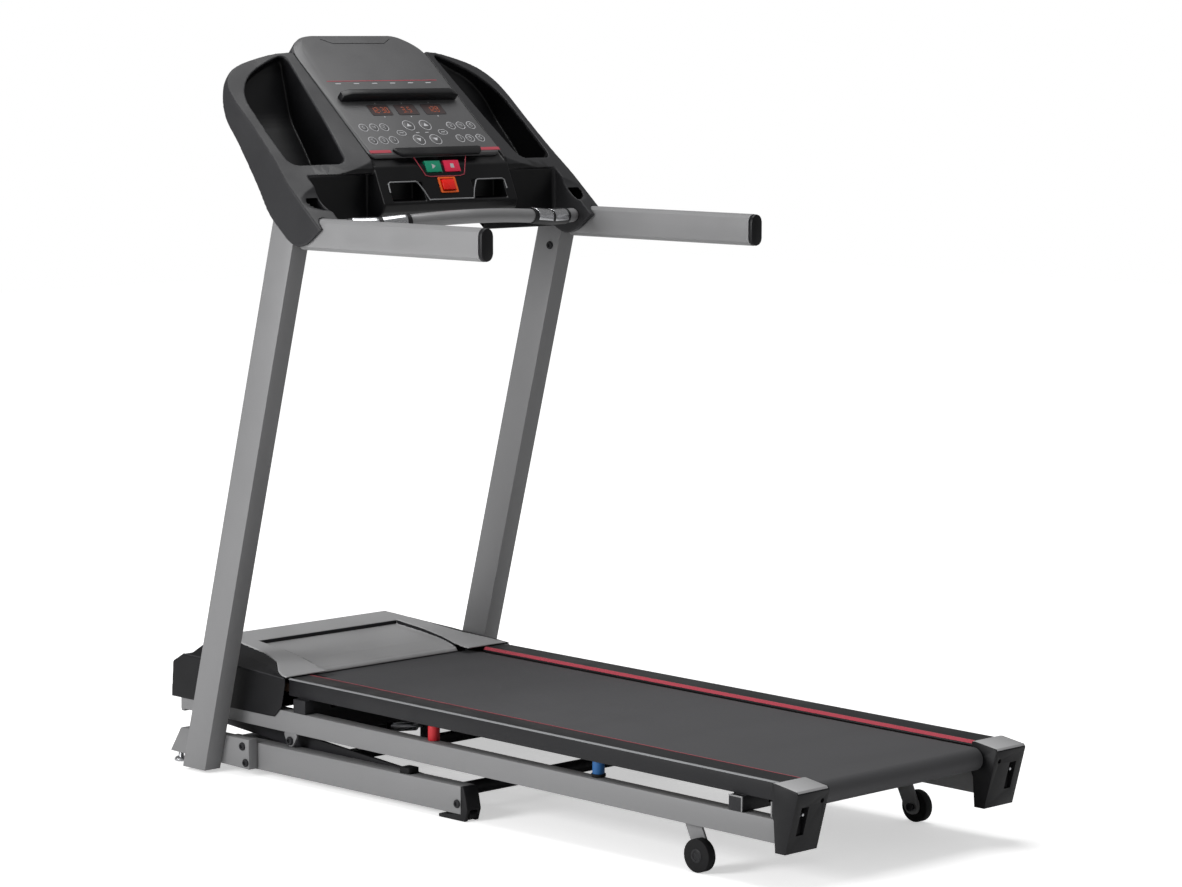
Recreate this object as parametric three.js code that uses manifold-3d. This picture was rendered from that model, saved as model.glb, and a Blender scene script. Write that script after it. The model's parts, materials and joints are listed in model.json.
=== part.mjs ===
// Folding motor treadmill with a powered incline, as an assembly of separate solids.
// Millimetres, +Z up, +Y is the running direction (towards the console), +X is the runner's right.
// The geometry is laid out from the rear wheels' axle (Y = 0) and shifted at the end, so that the
// finished object stands on Z = 0 with its box centred on the origin in X and Y.
import * as THREE from 'three';
import { mergeVertices } from 'three/addons/utils/BufferGeometryUtils.js';
import Module from 'manifold-3d';

const wasm = await Module();
wasm.setup();

// ---------------------------------------------------------------- driving dimensions
const GAP = 0.3;                      // clearance between pieces that touch
const WALL = 2;                       // steel tube wall

const UPRIGHT = { outer: 425, width: 45, depth: 78, rearFoot: 1444, lean: 0.2674, bottom: 6, top: 1262 };
const ARM = { x: 404.5, width: 34, height: 70, middle: 1223.5, rear: 539, cap: 6 };
const BASE_TUBE = { outer: 353, width: 40, bottom: 14, top: 74, rear: 676, front: 1459.7 };
const DECK_PITCH = 0.0115;            // the deck rises slightly towards the front
const DECK_TUBE = { outer: 340, width: 35, bottom: 94, top: 141, rear: -230, front: 1632 };
const RAIL = { outer: 331, inner: 260, top: 213.5, skirt: 175, rear: -205, front: 1262 };
const BOARD = { half: 326, bottom: 182, top: 200.7, rear: -170, front: 1338 };
const BELT = { half: 254, top: 203, thickness: 2 };
const ROLLER = { radius: 22, rear: -214, front: 1375 };
const WHEEL = { radius: 34, inner: 323, width: 20, plate: 322 };
const COVER = { outer: 344, wall: 3, rear: 1258, front: 1662, bottom: 138 };
const PIVOT = { y: 1248, z: 90, drop: 13, reach: 26 }; // rounded ear under each deck tube
const HINGE = { y: 1545, z: 136, radius: 10 };        // fold hinge shaft
const LIFT = { y: 760, z: 44, radius: 9, pin: 330 };  // lift frame's pivot on the base
const CONSOLE = { y: 1128.8, z: 1388.6, tilt: 0.7193, halfBottom: 196, halfTop: 168, length: 394 };
const WING = { outer: 430, fall: 0.206, start: 200, lip: 4.5 };

const BELT_RADIUS = ROLLER.radius + BELT.thickness;
const ROLLER_Z = BELT.top - BELT_RADIUS;

// ---------------------------------------------------------------- materials
const material = (color, roughness, metalness = 0) =>
  new THREE.MeshStandardMaterial({ color, roughness, metalness });
const FINISH = {
  frame: material(0x8f8f8f, 0.42, 0.4),
  arm: material(0xa6a6a8, 0.38, 0.5),
  blackSteel: material(0x1d1d1f, 0.5, 0.2),
  zinc: material(0xb9bbbd, 0.3, 0.9),
  blackPlastic: material(0x242426, 0.5),
  charcoal: material(0x38393b, 0.52),
  panel: material(0x56575a, 0.45),
  greyPlastic: material(0x8a8a8a, 0.42),
  belt: material(0x37383a, 0.85),
  board: material(0x4a3324, 0.7),
  rubber: material(0x161616, 0.8),
  redRubber: material(0xa01c26, 0.55),
  blueRubber: material(0x174a78, 0.55),
  green: material(0x12876b, 0.4),
  red: material(0xd02546, 0.4),
  keyRed: material(0xe81405, 0.45),
  circuit: material(0x1f5c3a, 0.6),
};

// ---------------------------------------------------------------- shape helpers
const outline = (points) => new THREE.Shape(points.map(([a, b]) => new THREE.Vector2(a, b)));

function extrude(shape, depth, curveSegments = 6) {
  return new THREE.ExtrudeGeometry(shape, { depth, bevelEnabled: false, curveSegments });
}

// A (y, z) outline extruded along X.
function alongX(points, x0, x1, holes = []) {
  const shape = points.isShape ? points : outline(points);
  shape.holes.push(...holes);
  const turn = new THREE.Matrix4().set(0, 0, 1, x0, 1, 0, 0, 0, 0, 1, 0, 0, 0, 0, 0, 1);
  return extrude(shape, x1 - x0).applyMatrix4(turn);
}

// An (x, z) outline extruded along Y.
function alongY(points, y0, y1, holes = []) {
  const shape = points.isShape ? points : outline(points);
  shape.holes.push(...holes);
  const turn = new THREE.Matrix4().set(1, 0, 0, 0, 0, 0, -1, y1, 0, 1, 0, 0, 0, 0, 0, 1);
  return extrude(shape, y1 - y0).applyMatrix4(turn);
}

// An (x, y) outline extruded along Z.
function alongZ(points, z0, z1, holes = []) {
  const shape = points.isShape ? points : outline(points);
  shape.holes.push(...holes);
  return extrude(shape, z1 - z0).translate(0, 0, z0);
}

const rectangle = (a0, a1, b0, b1) => [[a0, b0], [a1, b0], [a1, b1], [a0, b1]];

function box(x0, x1, y0, y1, z0, z1) {
  return alongX(rectangle(y0, y1, z0, z1), x0, x1);
}

// A box given for the right side (x0 < x1), placed on the chosen side.
function sideBox(side, x0, x1, y0, y1, z0, z1) {
  return box(...sideRange(side, x0, x1), y0, y1, z0, z1);
}

const sideRange = (side, x0, x1) => (side > 0 ? [x0, x1] : [-x1, -x0]);

function circlePoints(a, b, radius, sides) {
  const points = [];
  for (let i = 0; i < sides; i += 1) {
    const angle = ((i + 0.5) * 2 * Math.PI) / sides;
    points.push([a + radius * Math.cos(angle), b + radius * Math.sin(angle)]);
  }
  return points;
}

const hole = (points) => new THREE.Path(points.map(([a, b]) => new THREE.Vector2(a, b)));

function discX(y, z, radius, x0, x1, bore = 0, sides = 24) {
  const holes = bore ? [hole(circlePoints(y, z, bore, sides))] : [];
  return alongX(circlePoints(y, z, radius, sides), x0, x1, holes);
}

// A rod or tube between two points of one YZ plane, centred on x.
function rodInPlane(x, from, to, radius, bore = 0, sides = 16) {
  const holes = bore ? [hole(circlePoints(0, 0, bore, sides))] : [];
  const run = Math.hypot(to[0] - from[0], to[1] - from[1]);
  const rod = alongZ(circlePoints(0, 0, radius, sides), 0, run, holes);
  const up = new THREE.Vector3(0, 0, 1);
  const way = new THREE.Vector3(0, (to[0] - from[0]) / run, (to[1] - from[1]) / run);
  rod.applyQuaternion(new THREE.Quaternion().setFromUnitVectors(up, way));
  return rod.translate(x, from[0], from[1]);
}

// A capsule-shaped (x, z) outline: straight sides and round ends, taller than wide.
function ovalPoints(x, z, width, height, steps = 6) {
  const radius = width / 2;
  const points = [];
  for (const [middle, start] of [[z + height / 2 - radius, 0], [z - height / 2 + radius, Math.PI]]) {
    for (let i = 0; i <= steps; i += 1) {
      const angle = start + (i * Math.PI) / steps;
      points.push([x + radius * Math.cos(angle), middle + radius * Math.sin(angle)]);
    }
  }
  return points;
}

// An outline with its corners cut back twice, so that each becomes a short curve.
function softened(points, reach, passes = 2) {
  let soft = points;
  for (let pass = 0; pass < passes; pass += 1) {
    const most = reach / 2.5 ** pass;
    soft = soft.flatMap(([a, b], i) => {
      const around = [soft.at(i - 1), soft[(i + 1) % soft.length]];
      return around.map(([c, d]) => {
        const length = Math.hypot(c - a, d - b);
        const step = Math.min(length * 0.27, most) / length;
        return [a + (c - a) * step, b + (d - b) * step];
      });
    });
  }
  return soft;
}

// ---------------------------------------------------------------- boolean helpers
function solid(geometry) {
  const bare = geometry.index ? geometry.toNonIndexed() : geometry.clone();
  bare.deleteAttribute('normal');
  bare.deleteAttribute('uv');
  const merged = mergeVertices(bare, 1e-4);
  return new wasm.Manifold(new wasm.Mesh({
    numProp: 3,
    vertProperties: new Float32Array(merged.attributes.position.array),
    triVerts: new Uint32Array(merged.index.array),
  }));
}

function geometryOf(manifold) {
  const mesh = manifold.getMesh();
  const geometry = new THREE.BufferGeometry();
  geometry.setAttribute('position', new THREE.BufferAttribute(mesh.vertProperties, 3));
  geometry.setIndex(new THREE.BufferAttribute(mesh.triVerts, 1));
  const flat = geometry.toNonIndexed();
  flat.computeVertexNormals();
  return flat;
}

const join = (...pieces) => pieces.map(solid).reduce((whole, piece) => whole.add(piece));
const cut = (body, ...tools) => tools.map(solid).reduce((whole, tool) => whole.subtract(tool), body);
const common = (first, ...others) =>
  others.map(solid).reduce((whole, next) => whole.intersect(next), solid(first));

// ---------------------------------------------------------------- scene graph
const treadmill = new THREE.Group();
const deck = new THREE.Group();       // everything that lies parallel to the running surface
const head = new THREE.Group();       // X, up the console face, out of the console face
deck.rotation.x = Math.atan(DECK_PITCH);
head.position.set(0, CONSOLE.y, CONSOLE.z);
head.rotation.x = CONSOLE.tilt;
treadmill.add(deck, head);

function add(name, shape, finish, group = treadmill) {
  const geometry = shape.isBufferGeometry ? shape : geometryOf(shape);
  const mesh = new THREE.Mesh(geometry, finish);
  mesh.name = name;
  group.add(mesh);
}

const SIDES = [['left', -1], ['right', 1]];

// ---------------------------------------------------------------- base and uprights
const uprightRear = (z) => UPRIGHT.rearFoot - UPRIGHT.lean * z;

// The leaning outline of an upright in the YZ plane, grown by a margin all round.
function uprightOutline(margin, bottom, top) {
  return [
    [uprightRear(bottom) - margin, bottom],
    [uprightRear(bottom) + UPRIGHT.depth + margin, bottom],
    [uprightRear(top) + UPRIGHT.depth + margin, top],
    [uprightRear(top) - margin, top],
  ];
}

function addUpright(name, side) {
  const { outer, width, bottom, top } = UPRIGHT;
  const shell = solid(alongX(uprightOutline(0, bottom, top), ...sideRange(side, outer - width, outer)));
  const bore = uprightOutline(-WALL, bottom - 1, top + 1);
  const inside = alongX(bore, ...sideRange(side, outer - width + WALL, outer - WALL));
  add(`upright_${name}`, cut(shell, inside), FINISH.frame);
}

function addBaseTube(name, side) {
  const { outer, width, bottom, top, rear, front } = BASE_TUBE;
  const [x0, x1] = sideRange(side, outer - width, outer);
  const bore = hole(rectangle(x0 + WALL, x1 - WALL, bottom + WALL, top - WALL));
  const tube = solid(alongY(rectangle(x0, x1, bottom, top), rear, front, [bore]));
  const innerWall = sideRange(side, outer - width - 1, outer - width / 2);
  const pin = discX(LIFT.y, LIFT.z, LIFT.radius + GAP, ...innerWall);
  add(`base_tube_${name}`, cut(tube, pin), FINISH.frame);
}

// The welded foot plate that joins an upright to its base tube and carries the levelling foot.
const FOOT = {
  y: 1600, x: 366, plateRear: 1342, plateFront: 1622, noseTop: 1584, bend: 1480, top: 84, bottom: 16, wall: 4,
};

function addFootBracket(name, side) {
  const { plateRear, plateFront, noseTop, bend, top, bottom, wall } = FOOT;
  const profile = [
    [plateRear, bottom], [plateFront, bottom + 6], [noseTop, top - 4], [bend, top], [plateRear, top],
  ];
  const x0 = BASE_TUBE.outer + GAP;
  const x1 = UPRIGHT.outer - UPRIGHT.width - GAP;
  const block = solid(alongX(profile, ...sideRange(side, x0, x1)));
  const room = [plateRear + wall, noseTop - 2 * wall, bottom + 2 * wall, top - 2 * wall];
  add(`foot_bracket_${name}`, cut(block, sideBox(side, x0 - 1, x1 - wall, ...room)), FINISH.frame);
}

function addLevellingFoot(name, side) {
  const x = side * FOOT.x;
  const profile = [
    [0, 0], [15, 0], [15, 5], [11, 9], [6, 9], [6, 21], [0, 21],
  ];
  const lathe = new THREE.LatheGeometry(profile.map(([r, z]) => new THREE.Vector2(r, z)), 20);
  lathe.rotateX(Math.PI / 2);
  add(`levelling_foot_${name}`, lathe.translate(x, FOOT.y, 0), FINISH.zinc);
}

// The black plug in the rear end of a base tube: an L with a pad on the floor and a wheel fork.
const END = { wheelY: 665, wheelZ: 12, wheelRadius: 9.5, padFront: 744, rear: 655 };

function addBaseEnd(name, side) {
  const { outer, width, bottom, top, rear } = BASE_TUBE;
  const [x0, x1] = sideRange(side, outer - width, outer);
  const profile = [
    [rear - GAP, top], [rear - 8, top - 1], [END.rear + 6, top - 20], [END.rear, 26],
    [END.rear + 8, 0], [END.padFront, 0],
    [END.padFront, 7], [rear + 12, bottom - GAP], [rear - GAP, bottom - GAP],
  ];
  const body = solid(alongX(profile, x0, x1));
  const slot = sideBox(side, outer - width + 9, outer - 9, END.rear - 10, rear - 1, -1, 24);
  add(`base_end_foot_${name}`, cut(body, slot), FINISH.blackPlastic);
  const wheel = sideRange(side, outer - width + 10, outer - 10);
  add(`transport_wheel_${name}`, discX(END.wheelY, END.wheelZ, END.wheelRadius, ...wheel), FINISH.rubber);
}

// The front cross tube carries the two lugs and the pin that hold the lift actuator's motor end.
function addBaseCrossTube() {
  const half = BASE_TUBE.outer;
  const rear = 1460;
  const bore = hole(rectangle(rear + WALL, rear + 40 - WALL, 20 + WALL, 60 - WALL));
  const tube = alongX(rectangle(rear, rear + 40, 20, 60), -half, half, [bore]);
  const { y, z } = LIFT_MOTOR;
  const lugs = [-1, 1].map((side) => sideBox(side, 18, 24, y - 9, rear + 1, z - 12, z + 12));
  add('base_cross_tube', join(tube, discX(y, z, 5, -24, 24), ...lugs), FINISH.frame);
}

// ---------------------------------------------------------------- arms and grip bar
function addArm(name, side) {
  const { x, width, height, middle, rear, cap } = ARM;
  const front = uprightRear(middle) - height * 0.5 * UPRIGHT.lean - GAP - 1;
  const bore = hole(ovalPoints(side * x, middle, width - 2 * WALL, height - 2 * WALL));
  const tube = alongY(ovalPoints(side * x, middle, width, height), rear + cap, front, [bore]);
  add(`arm_${name}`, tube, FINISH.arm);
  const plug = alongY(ovalPoints(side * x, middle, width, height), rear - 5, rear + cap - GAP);
  add(`arm_cap_${name}`, plug, FINISH.blackPlastic);
}

// The grip bar's middle line: highest and nearest the runner in the middle, bowed away at its ends.
const GRIP = { half: 366, y: 1003, bow: 70, z: 1251, drop: 13, radius: 16, sleeve: 18.5, from: 182, to: 328 };

function gripPoint(x) {
  const out = (x / GRIP.half) ** 2;
  return new THREE.Vector3(x, GRIP.y + GRIP.bow * out, GRIP.z - GRIP.drop * Math.min(1, 2 * out));
}

function gripTube(from, to, radius, steps) {
  const points = [];
  for (let i = 0; i <= steps; i += 1) points.push(gripPoint(from + ((to - from) * i) / steps));
  const path = new THREE.CatmullRomCurve3(points);
  return new THREE.ExtrudeGeometry(outline(circlePoints(0, 0, radius, 14)), { steps, extrudePath: path });
}

function addGrip() {
  add('grip_bar', gripTube(-GRIP.half, GRIP.half, GRIP.radius, 22), FINISH.arm);
  for (const [name, side] of SIDES) {
    const [x0, x1] = sideRange(side, GRIP.from, GRIP.to);
    const sleeve = solid(gripTube(x0, x1, GRIP.sleeve, 6));
    const bore = gripTube(x0 - 20, x1 + 20, GRIP.radius + 3 * GAP, 12);
    add(`grip_sleeve_${name}`, cut(sleeve, bore), FINISH.blackPlastic);
  }
}

// ---------------------------------------------------------------- console
// In the head group's own frame: X, t up the face and n out of it.
const headY = (t, n) => CONSOLE.y + t * Math.cos(CONSOLE.tilt) - n * Math.sin(CONSOLE.tilt);
const headZ = (t, n) => CONSOLE.z + t * Math.sin(CONSOLE.tilt) + n * Math.cos(CONSOLE.tilt);
const PANEL_THICKNESS = 10;
const PANEL_BEVEL = 5;
const SHELL = 4;                      // moulded wall of the console

// The central pod's side outline in the YZ plane: fascia, belly, back and top.
const POD_SIDE = [
  [1122, 1380], [1111, 1358], [1097, 1325], [1078, 1280], [1084, 1262], [1104, 1246], [1136, 1232],
  [1190, 1224], [1250, 1232],
  [1310, 1290], [1462, 1586], [1452, 1626],
  [headY(CONSOLE.length, -PANEL_THICKNESS - GAP), headZ(CONSOLE.length, -PANEL_THICKNESS - GAP)],
];
const POD_INSIDE = [
  [1142, 1370], [1134, 1330], [1134, 1280], [1150, 1246], [1186, 1230], [1244, 1238], [1330, 1260],
  [1520, 1600], [1424, 1604],
];

// A wing's side outline: collar lip, front edge, rounded top and swept back edge.
const WING_SIDE = softened([
  [984, 1266], [1040, 1267], [1086, 1284], [1116, 1326], [headY(-20, 0), headZ(-20, 0)],
  [headY(345, 0), headZ(345, 0)], [1408, 1590], [1376, 1500], [1362, 1462], [1325, 1420],
  [1265, 1343], [1199, 1262], [1120, 1196], [1078, 1197],
], 16);
const WING_MIDDLE = [1230, 1390];

// The console's front outline, right half, down to the collar round the upright and arm.
const WING_FRONT = [
  [0, 350], ...softened([
    [190, 350], [290, 341], [350, 329], [388, 306], [407, 272], [413, 235], [414, 130], [419, 40],
    [428, -20], [430, -60], [430, -280],
  ], 18).slice(1, -1), [0, -280],
];
const POCKET_FRONT = softened([
  [220, 340], [280, 322], [334, 297], [368, 262], [386, 223], [391, 123], [391, 14], [260, -10],
  [241, 122], [231, 222],
], 14);
const POCKET_MIDDLE = [315, 150];

const mirrored = (points, side) => (side > 0 ? points : points.map(([a, b]) => [-a, b]).reverse());

// Every point of an outline moved away from a middle point by the given distance.
function grown(points, [a0, b0], distance) {
  return points.map(([a, b]) => {
    const reach = Math.hypot(a - a0, b - b0);
    return [a + (distance * (a - a0)) / reach, b + (distance * (b - b0)) / reach];
  });
}

// A geometry built in (x, t, n), turned into the treadmill's frame.
function fromHead(geometry) {
  return geometry.rotateX(CONSOLE.tilt).translate(0, CONSOLE.y, CONSOLE.z);
}

// One wing as a solid, shrunk all round by a margin.
function wingSolid(side, margin) {
  const [x0, x1] = sideRange(side, 150, WING.outer - margin);
  const front = WING_FRONT.map(([s, t]) => [s - (s > 0 ? margin : 0), t - (t > 240 ? margin : 0)]);
  const seat = -PANEL_THICKNESS - GAP;
  const faceFall = [
    [0, -400], [WING.outer, -400], [WING.outer, -WING.fall * (WING.outer - WING.start) - margin],
    [WING.start - 2.6, -WING.lip - margin], [WING.start - 2.6, seat - margin], [0, seat - margin],
  ];
  const body = common(
    alongX(grown(WING_SIDE, WING_MIDDLE, -margin), x0, x1),
    fromHead(alongZ(mirrored(front, side), -400, 40)),
    fromHead(alongY(mirrored(faceFall, side), -400, 500)),
  );
  return cut(body, sideBox(side, 100, 372 + margin, 960, 1136 + margin, 1150, 1346 + margin));
}

// The room in front of a wing's back wall, seen square to the console face.
function pocket(side, margin) {
  const mouth = fromHead(alongZ(mirrored(grown(POCKET_FRONT, POCKET_MIDDLE, margin), side), -400, 40));
  const [x0, x1] = sideRange(side, 200, 405);
  return common(alongX(grown(WING_SIDE, WING_MIDDLE, margin - 2 * SHELL), x0, x1), mouth);
}

// Room inside a wing for the upright's top end and for the arm's root.
function wingClearance(side) {
  const { outer, width, top } = UPRIGHT;
  const room = uprightOutline(GAP, 1100, top + GAP);
  const post = alongX(room, ...sideRange(side, outer - width - GAP, outer + GAP));
  const bore = ovalPoints(side * ARM.x, ARM.middle, ARM.width + 2 * GAP, ARM.height + 2 * GAP);
  return solid(post).add(solid(alongY(bore, 900, 1150)));
}

// The pod's front outline, shrunk by a margin.
function podFront(margin) {
  const { halfBottom, halfTop, length } = CONSOLE;
  const half = [
    [halfBottom + 4 - margin, -400], [halfBottom + 4 - margin, 340], [halfTop + 4 - margin, 374],
    [halfTop - 30 - margin, length - margin],
  ];
  return softened([...half, ...half.map(([s, t]) => [-s, t]).reverse()], 12);
}

// The start and stop keys and the safety key's socket sit in the leaning fascia.
const FASCIA = { y: 1111, z: 1358, lean: 0.44 };
const BUTTON = { half: 28, width: 46, height: 27, depth: 9, proud: 1.2 };
const SAFETY = { y: 1093, z: 1317, width: 36, height: 24, depth: 8, proud: 5 };
const TRAY = { inner: 74, outer: 172, back: 1128, bottom: 1285, top: 1325 };

function buttonBox(side, margin) {
  const x = side * BUTTON.half;
  const w = BUTTON.width / 2 + margin;
  const h = BUTTON.height / 2 + margin;
  const shape = box(x - w, x + w, -BUTTON.proud, BUTTON.depth + 4 * margin, -h, h);
  return shape.rotateX(-Math.atan(FASCIA.lean)).translate(0, FASCIA.y, FASCIA.z);
}

function safetyBox(margin) {
  const w = SAFETY.width / 2 + margin;
  const h = SAFETY.height / 2 + margin;
  const shape = box(-w, w, -SAFETY.proud, SAFETY.depth + margin, -h, h);
  return shape.rotateX(-Math.atan(FASCIA.lean)).translate(0, SAFETY.y, SAFETY.z);
}

function addConsole() {
  const reach = CONSOLE.halfBottom + 6;
  const seat = -PANEL_THICKNESS - GAP;
  const pod = common(alongX(POD_SIDE, -reach, reach), fromHead(alongZ(podFront(0), -400, seat)));
  const podInside = common(
    alongX(POD_INSIDE, -reach, reach),
    fromHead(alongZ(podFront(2 * SHELL), -400, seat - SHELL)),
  );
  let shell = pod;
  let inside = podInside;
  for (const side of [-1, 1]) {
    shell = shell.add(wingSolid(side, 0));
    inside = inside.add(wingSolid(side, SHELL));
  }
  shell = shell.subtract(inside);
  for (const side of [-1, 1]) {
    shell = shell.add(pocket(side, SHELL + 0.7).intersect(wingSolid(side, 0)));
    shell = shell.subtract(pocket(side, 0)).subtract(wingClearance(side));
    shell = cut(
      shell,
      sideBox(side, TRAY.inner, TRAY.outer, 1060, TRAY.back, TRAY.bottom, TRAY.top),
      buttonBox(side, 0.5),
    );
  }
  shell = cut(shell, safetyBox(0.5));
  add('console_housing', shell, FINISH.charcoal);
  const band = [[1295, 1260.8], [1462, 1586], [1458.4, 1587.8], [1291.4, 1262.6]];
  const lid = common(
    alongX(band, -reach, reach),
    alongX(grown(POD_INSIDE, WING_MIDDLE, -GAP), -180, 180),
    fromHead(alongZ(podFront(2 * SHELL + GAP), -400, seat - SHELL - GAP)),
  );
  add('console_back_cover', lid, FINISH.blackPlastic);
  add('circuit_board', fromHead(box(-150, 150, 40, 300, -44, -42)), FINISH.circuit);
  addPanel();
  add('start_button', buttonBox(-1, 0), FINISH.green);
  add('stop_button', buttonBox(1, 0), FINISH.red);
  add('safety_key', safetyBox(0), FINISH.keyRed);
}

// A solid between two outlines with the same number of points, one above the other.
function loft(lower, upper, z0, z1) {
  const count = lower.length;
  const at = (points, z) => points.map(([a, b]) => new THREE.Vector3(a, b, z));
  const corners = [...at(lower, z0), ...at(upper, z1)];
  const cap = THREE.ShapeUtils.triangulateShape(lower.map(([a, b]) => new THREE.Vector2(a, b)), []);
  const faces = cap.flatMap(([i, j, k]) => [[k, j, i], [i + count, j + count, k + count]]);
  for (let i = 0; i < count; i += 1) {
    const next = (i + 1) % count;
    faces.push([i, next, next + count], [i, next + count, i + count]);
  }
  const geometry = new THREE.BufferGeometry().setFromPoints(faces.flat().map((i) => corners[i]));
  geometry.computeVertexNormals();
  return geometry;
}

function addPanel() {
  const { halfBottom, halfTop, length } = CONSOLE;
  const half = [[halfBottom, -6], [halfBottom, 340], [halfTop + 2, 374], [halfTop - 32, length - 2]];
  const base = softened([...half, ...half.map(([s, t]) => [-s, t]).reverse()], 12);
  const faceHalf = [[halfBottom - 2, -4], [halfTop + 2, 338], [halfTop - 8, 368], [halfTop - 36, length - 6]];
  const face = softened([...faceHalf, ...faceHalf.map(([s, t]) => [-s, t]).reverse()], 12);
  const plate = join(
    alongZ(base, -PANEL_THICKNESS, -PANEL_BEVEL),
    loft(base, face, -PANEL_BEVEL, 0),
  );
  add('console_panel', plate, FINISH.panel, head);
  const ledge = [[-172, GAP], [172, GAP], [172, 17], [150, 24], [-150, 24], [-172, 17]];
  add('media_ledge', alongY(ledge, 168, 184), FINISH.blackPlastic, head);
}

// ---------------------------------------------------------------- deck
// A point of the treadmill's YZ plane, in the deck group's own frame.
function inDeck(y, z) {
  const turn = deck.rotation.x;
  return [y * Math.cos(turn) + z * Math.sin(turn), z * Math.cos(turn) - y * Math.sin(turn)];
}

function addDeckTube(name, side) {
  const { outer, width, bottom, top, rear, front } = DECK_TUBE;
  const [x0, x1] = sideRange(side, outer - width, outer);
  const bore = hole(rectangle(x0 + WALL, x1 - WALL, bottom + WALL, top - WALL));
  const tube = solid(alongY(rectangle(x0, x1, bottom, top), rear, front, [bore]));
  const plate = softened([[10, bottom + 1], [55, bottom + 1], [17, 20], [2, 16], [-15, 22], [-17, 40]], 6);
  const bracket = alongX(plate, ...sideRange(side, WHEEL.plate - 5.5, WHEEL.plate));
  const wheelHole = discX(...inDeck(0, WHEEL.radius), 6.5, ...sideRange(side, 300, 345));
  const [pivotY, pivotZ] = inDeck(PIVOT.y, PIVOT.z);
  const ear = softened([
    [pivotY - PIVOT.reach, bottom + 1], [pivotY - 8, pivotZ - PIVOT.drop], [pivotY + 8, pivotZ - PIVOT.drop],
    [pivotY + PIVOT.reach, bottom + 1],
  ], 8);
  const pivot = alongX(ear, ...sideRange(side, outer - 8, outer - 3));
  const shaft = discX(...inDeck(HINGE.y, HINGE.z), HINGE.radius + GAP, ...sideRange(side, 300, 320));
  let body = tube.add(solid(bracket)).add(solid(pivot));
  if (side > 0) body = body.add(strutBracket(outer - width));
  add(`deck_tube_${name}`, cut(body, wheelHole, shaft), FINISH.frame, deck);
}

// The plate and pin on the right deck tube that hold the strut's upper end.
function strutBracket(inner) {
  const [y, z] = inDeck(STRUT.highY, STRUT.highZ);
  const plate = [[y - 34, z + 20], [y - 14, z - 12], [y + 14, z - 12], [y + 34, z + 20]];
  return join(alongX(plate, inner - 5, inner + 1), discX(y, z, 5, STRUT.x + 6.5, inner - 4));
}

// The rear bar lies on the tubes; its ends step up to the board outside the belt.
function addDeckCrossBars() {
  const { outer, top } = DECK_TUBE;
  const low = top + GAP;
  const high = BOARD.bottom - GAP;
  const step = BELT.half + 8;
  const skirt = RAIL.skirt - 3;
  const inner = RAIL.outer - 5;
  const bar = [
    [-outer, low], [outer, low], [outer, skirt], [inner, skirt], [inner, high], [step, high],
    [step, low + 8], [-step, low + 8], [-step, high], [-inner, high], [-inner, skirt], [-outer, skirt],
  ];
  add('deck_cross_bar_rear', alongY(bar, -118, -82), FINISH.blackSteel, deck);
  const hung = DECK_TUBE.bottom - 2;
  const wall = outer - DECK_TUBE.width - GAP;
  const hanger = [
    [-outer, low], [-wall, low], [-wall, hung + 30], [-wall + 30, hung], [wall - 30, hung],
    [wall, hung + 30], [wall, low], [outer, low], [outer, skirt], [inner, skirt], [inner, high],
    [step, high], [step, low + 8], [-step, low + 8], [-step, high], [-inner, high], [-inner, skirt],
    [-outer, skirt],
  ];
  add('deck_cross_bar_front', alongY(hanger, 1196, 1236), FINISH.blackSteel, deck);
  const half = outer - DECK_TUBE.width - GAP;
  const { front, bottom } = DECK_TUBE;
  const bore = hole(rectangle(front - 38, front - 4, bottom + 4, top - 8));
  const tube = alongX(rectangle(front - 40, front - 2, bottom + 2, top - 6), -half, half, [bore]);
  const plate = box(-330, 330, front + GAP, front + 12, bottom - 8, bottom + 26);
  const spacer = box(-half, half, front - 3, front + 1, bottom + 6, bottom + 22);
  add('deck_front_frame', join(tube, spacer, plate), FINISH.frame, deck);
}

function addBoard() {
  const board = box(-BOARD.half, BOARD.half, BOARD.rear, BOARD.front, BOARD.bottom, BOARD.top);
  add('deck_board', board, FINISH.board, deck);
}

function addRail(name, side) {
  const { outer, inner, top, skirt, rear, front } = RAIL;
  const under = BOARD.top + GAP;
  const section = [
    [inner + 2, under], [outer - 3.5, under], [outer - 3.5, skirt], [outer, skirt], [outer, top - 2],
    [outer - 3, top], [inner + 7, top], [inner, top - 8],
  ];
  add(`side_rail_${name}`, alongY(mirrored(section, side), rear, front), FINISH.blackPlastic, deck);
}

// The cap on a rail's rear end: a sloping top, a rear face that leans in and a skirt over the tube.
function addRearCap(name, side) {
  const profile = [
    [RAIL.rear - GAP, 150], [RAIL.rear - GAP, 213], [-212, 214], [-268, 206], [-272, 200], [-241, 78],
    [-215, 78], [-210, 140],
  ];
  const body = solid(alongX(profile, ...sideRange(side, 257, 349)));
  const inner = DECK_TUBE.outer - DECK_TUBE.width - 1;
  const tube = sideBox(side, inner, DECK_TUBE.outer + 1, DECK_TUBE.rear - 2, 0, 60, DECK_TUBE.top + 1);
  const shaft = discX(ROLLER.rear, ROLLER_Z, SHAFT.radius + GAP, ...sideRange(side, 250, SHAFT.rear + 1));
  const bolt = alongY(circlePoints(side * 272, ROLLER_Z, 5, 16), -400, -222);
  const window = sideBox(side, 308, 329, -300, -243, 114, 172);
  add(`rear_cap_${name}`, cut(body, tube, shaft, bolt, window), FINISH.blackPlastic, deck);
}

// A band round both rollers: two straight runs and a half turn at each end.
function bandPoints(radius, front, rear, z, steps = 12) {
  const points = [];
  for (const [y, start] of [[front, -Math.PI / 2], [rear, Math.PI / 2]]) {
    for (let i = 0; i <= steps; i += 1) {
      const angle = start + (i * Math.PI) / steps;
      points.push([y + radius * Math.cos(angle), z + radius * Math.sin(angle)]);
    }
  }
  return points;
}

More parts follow.
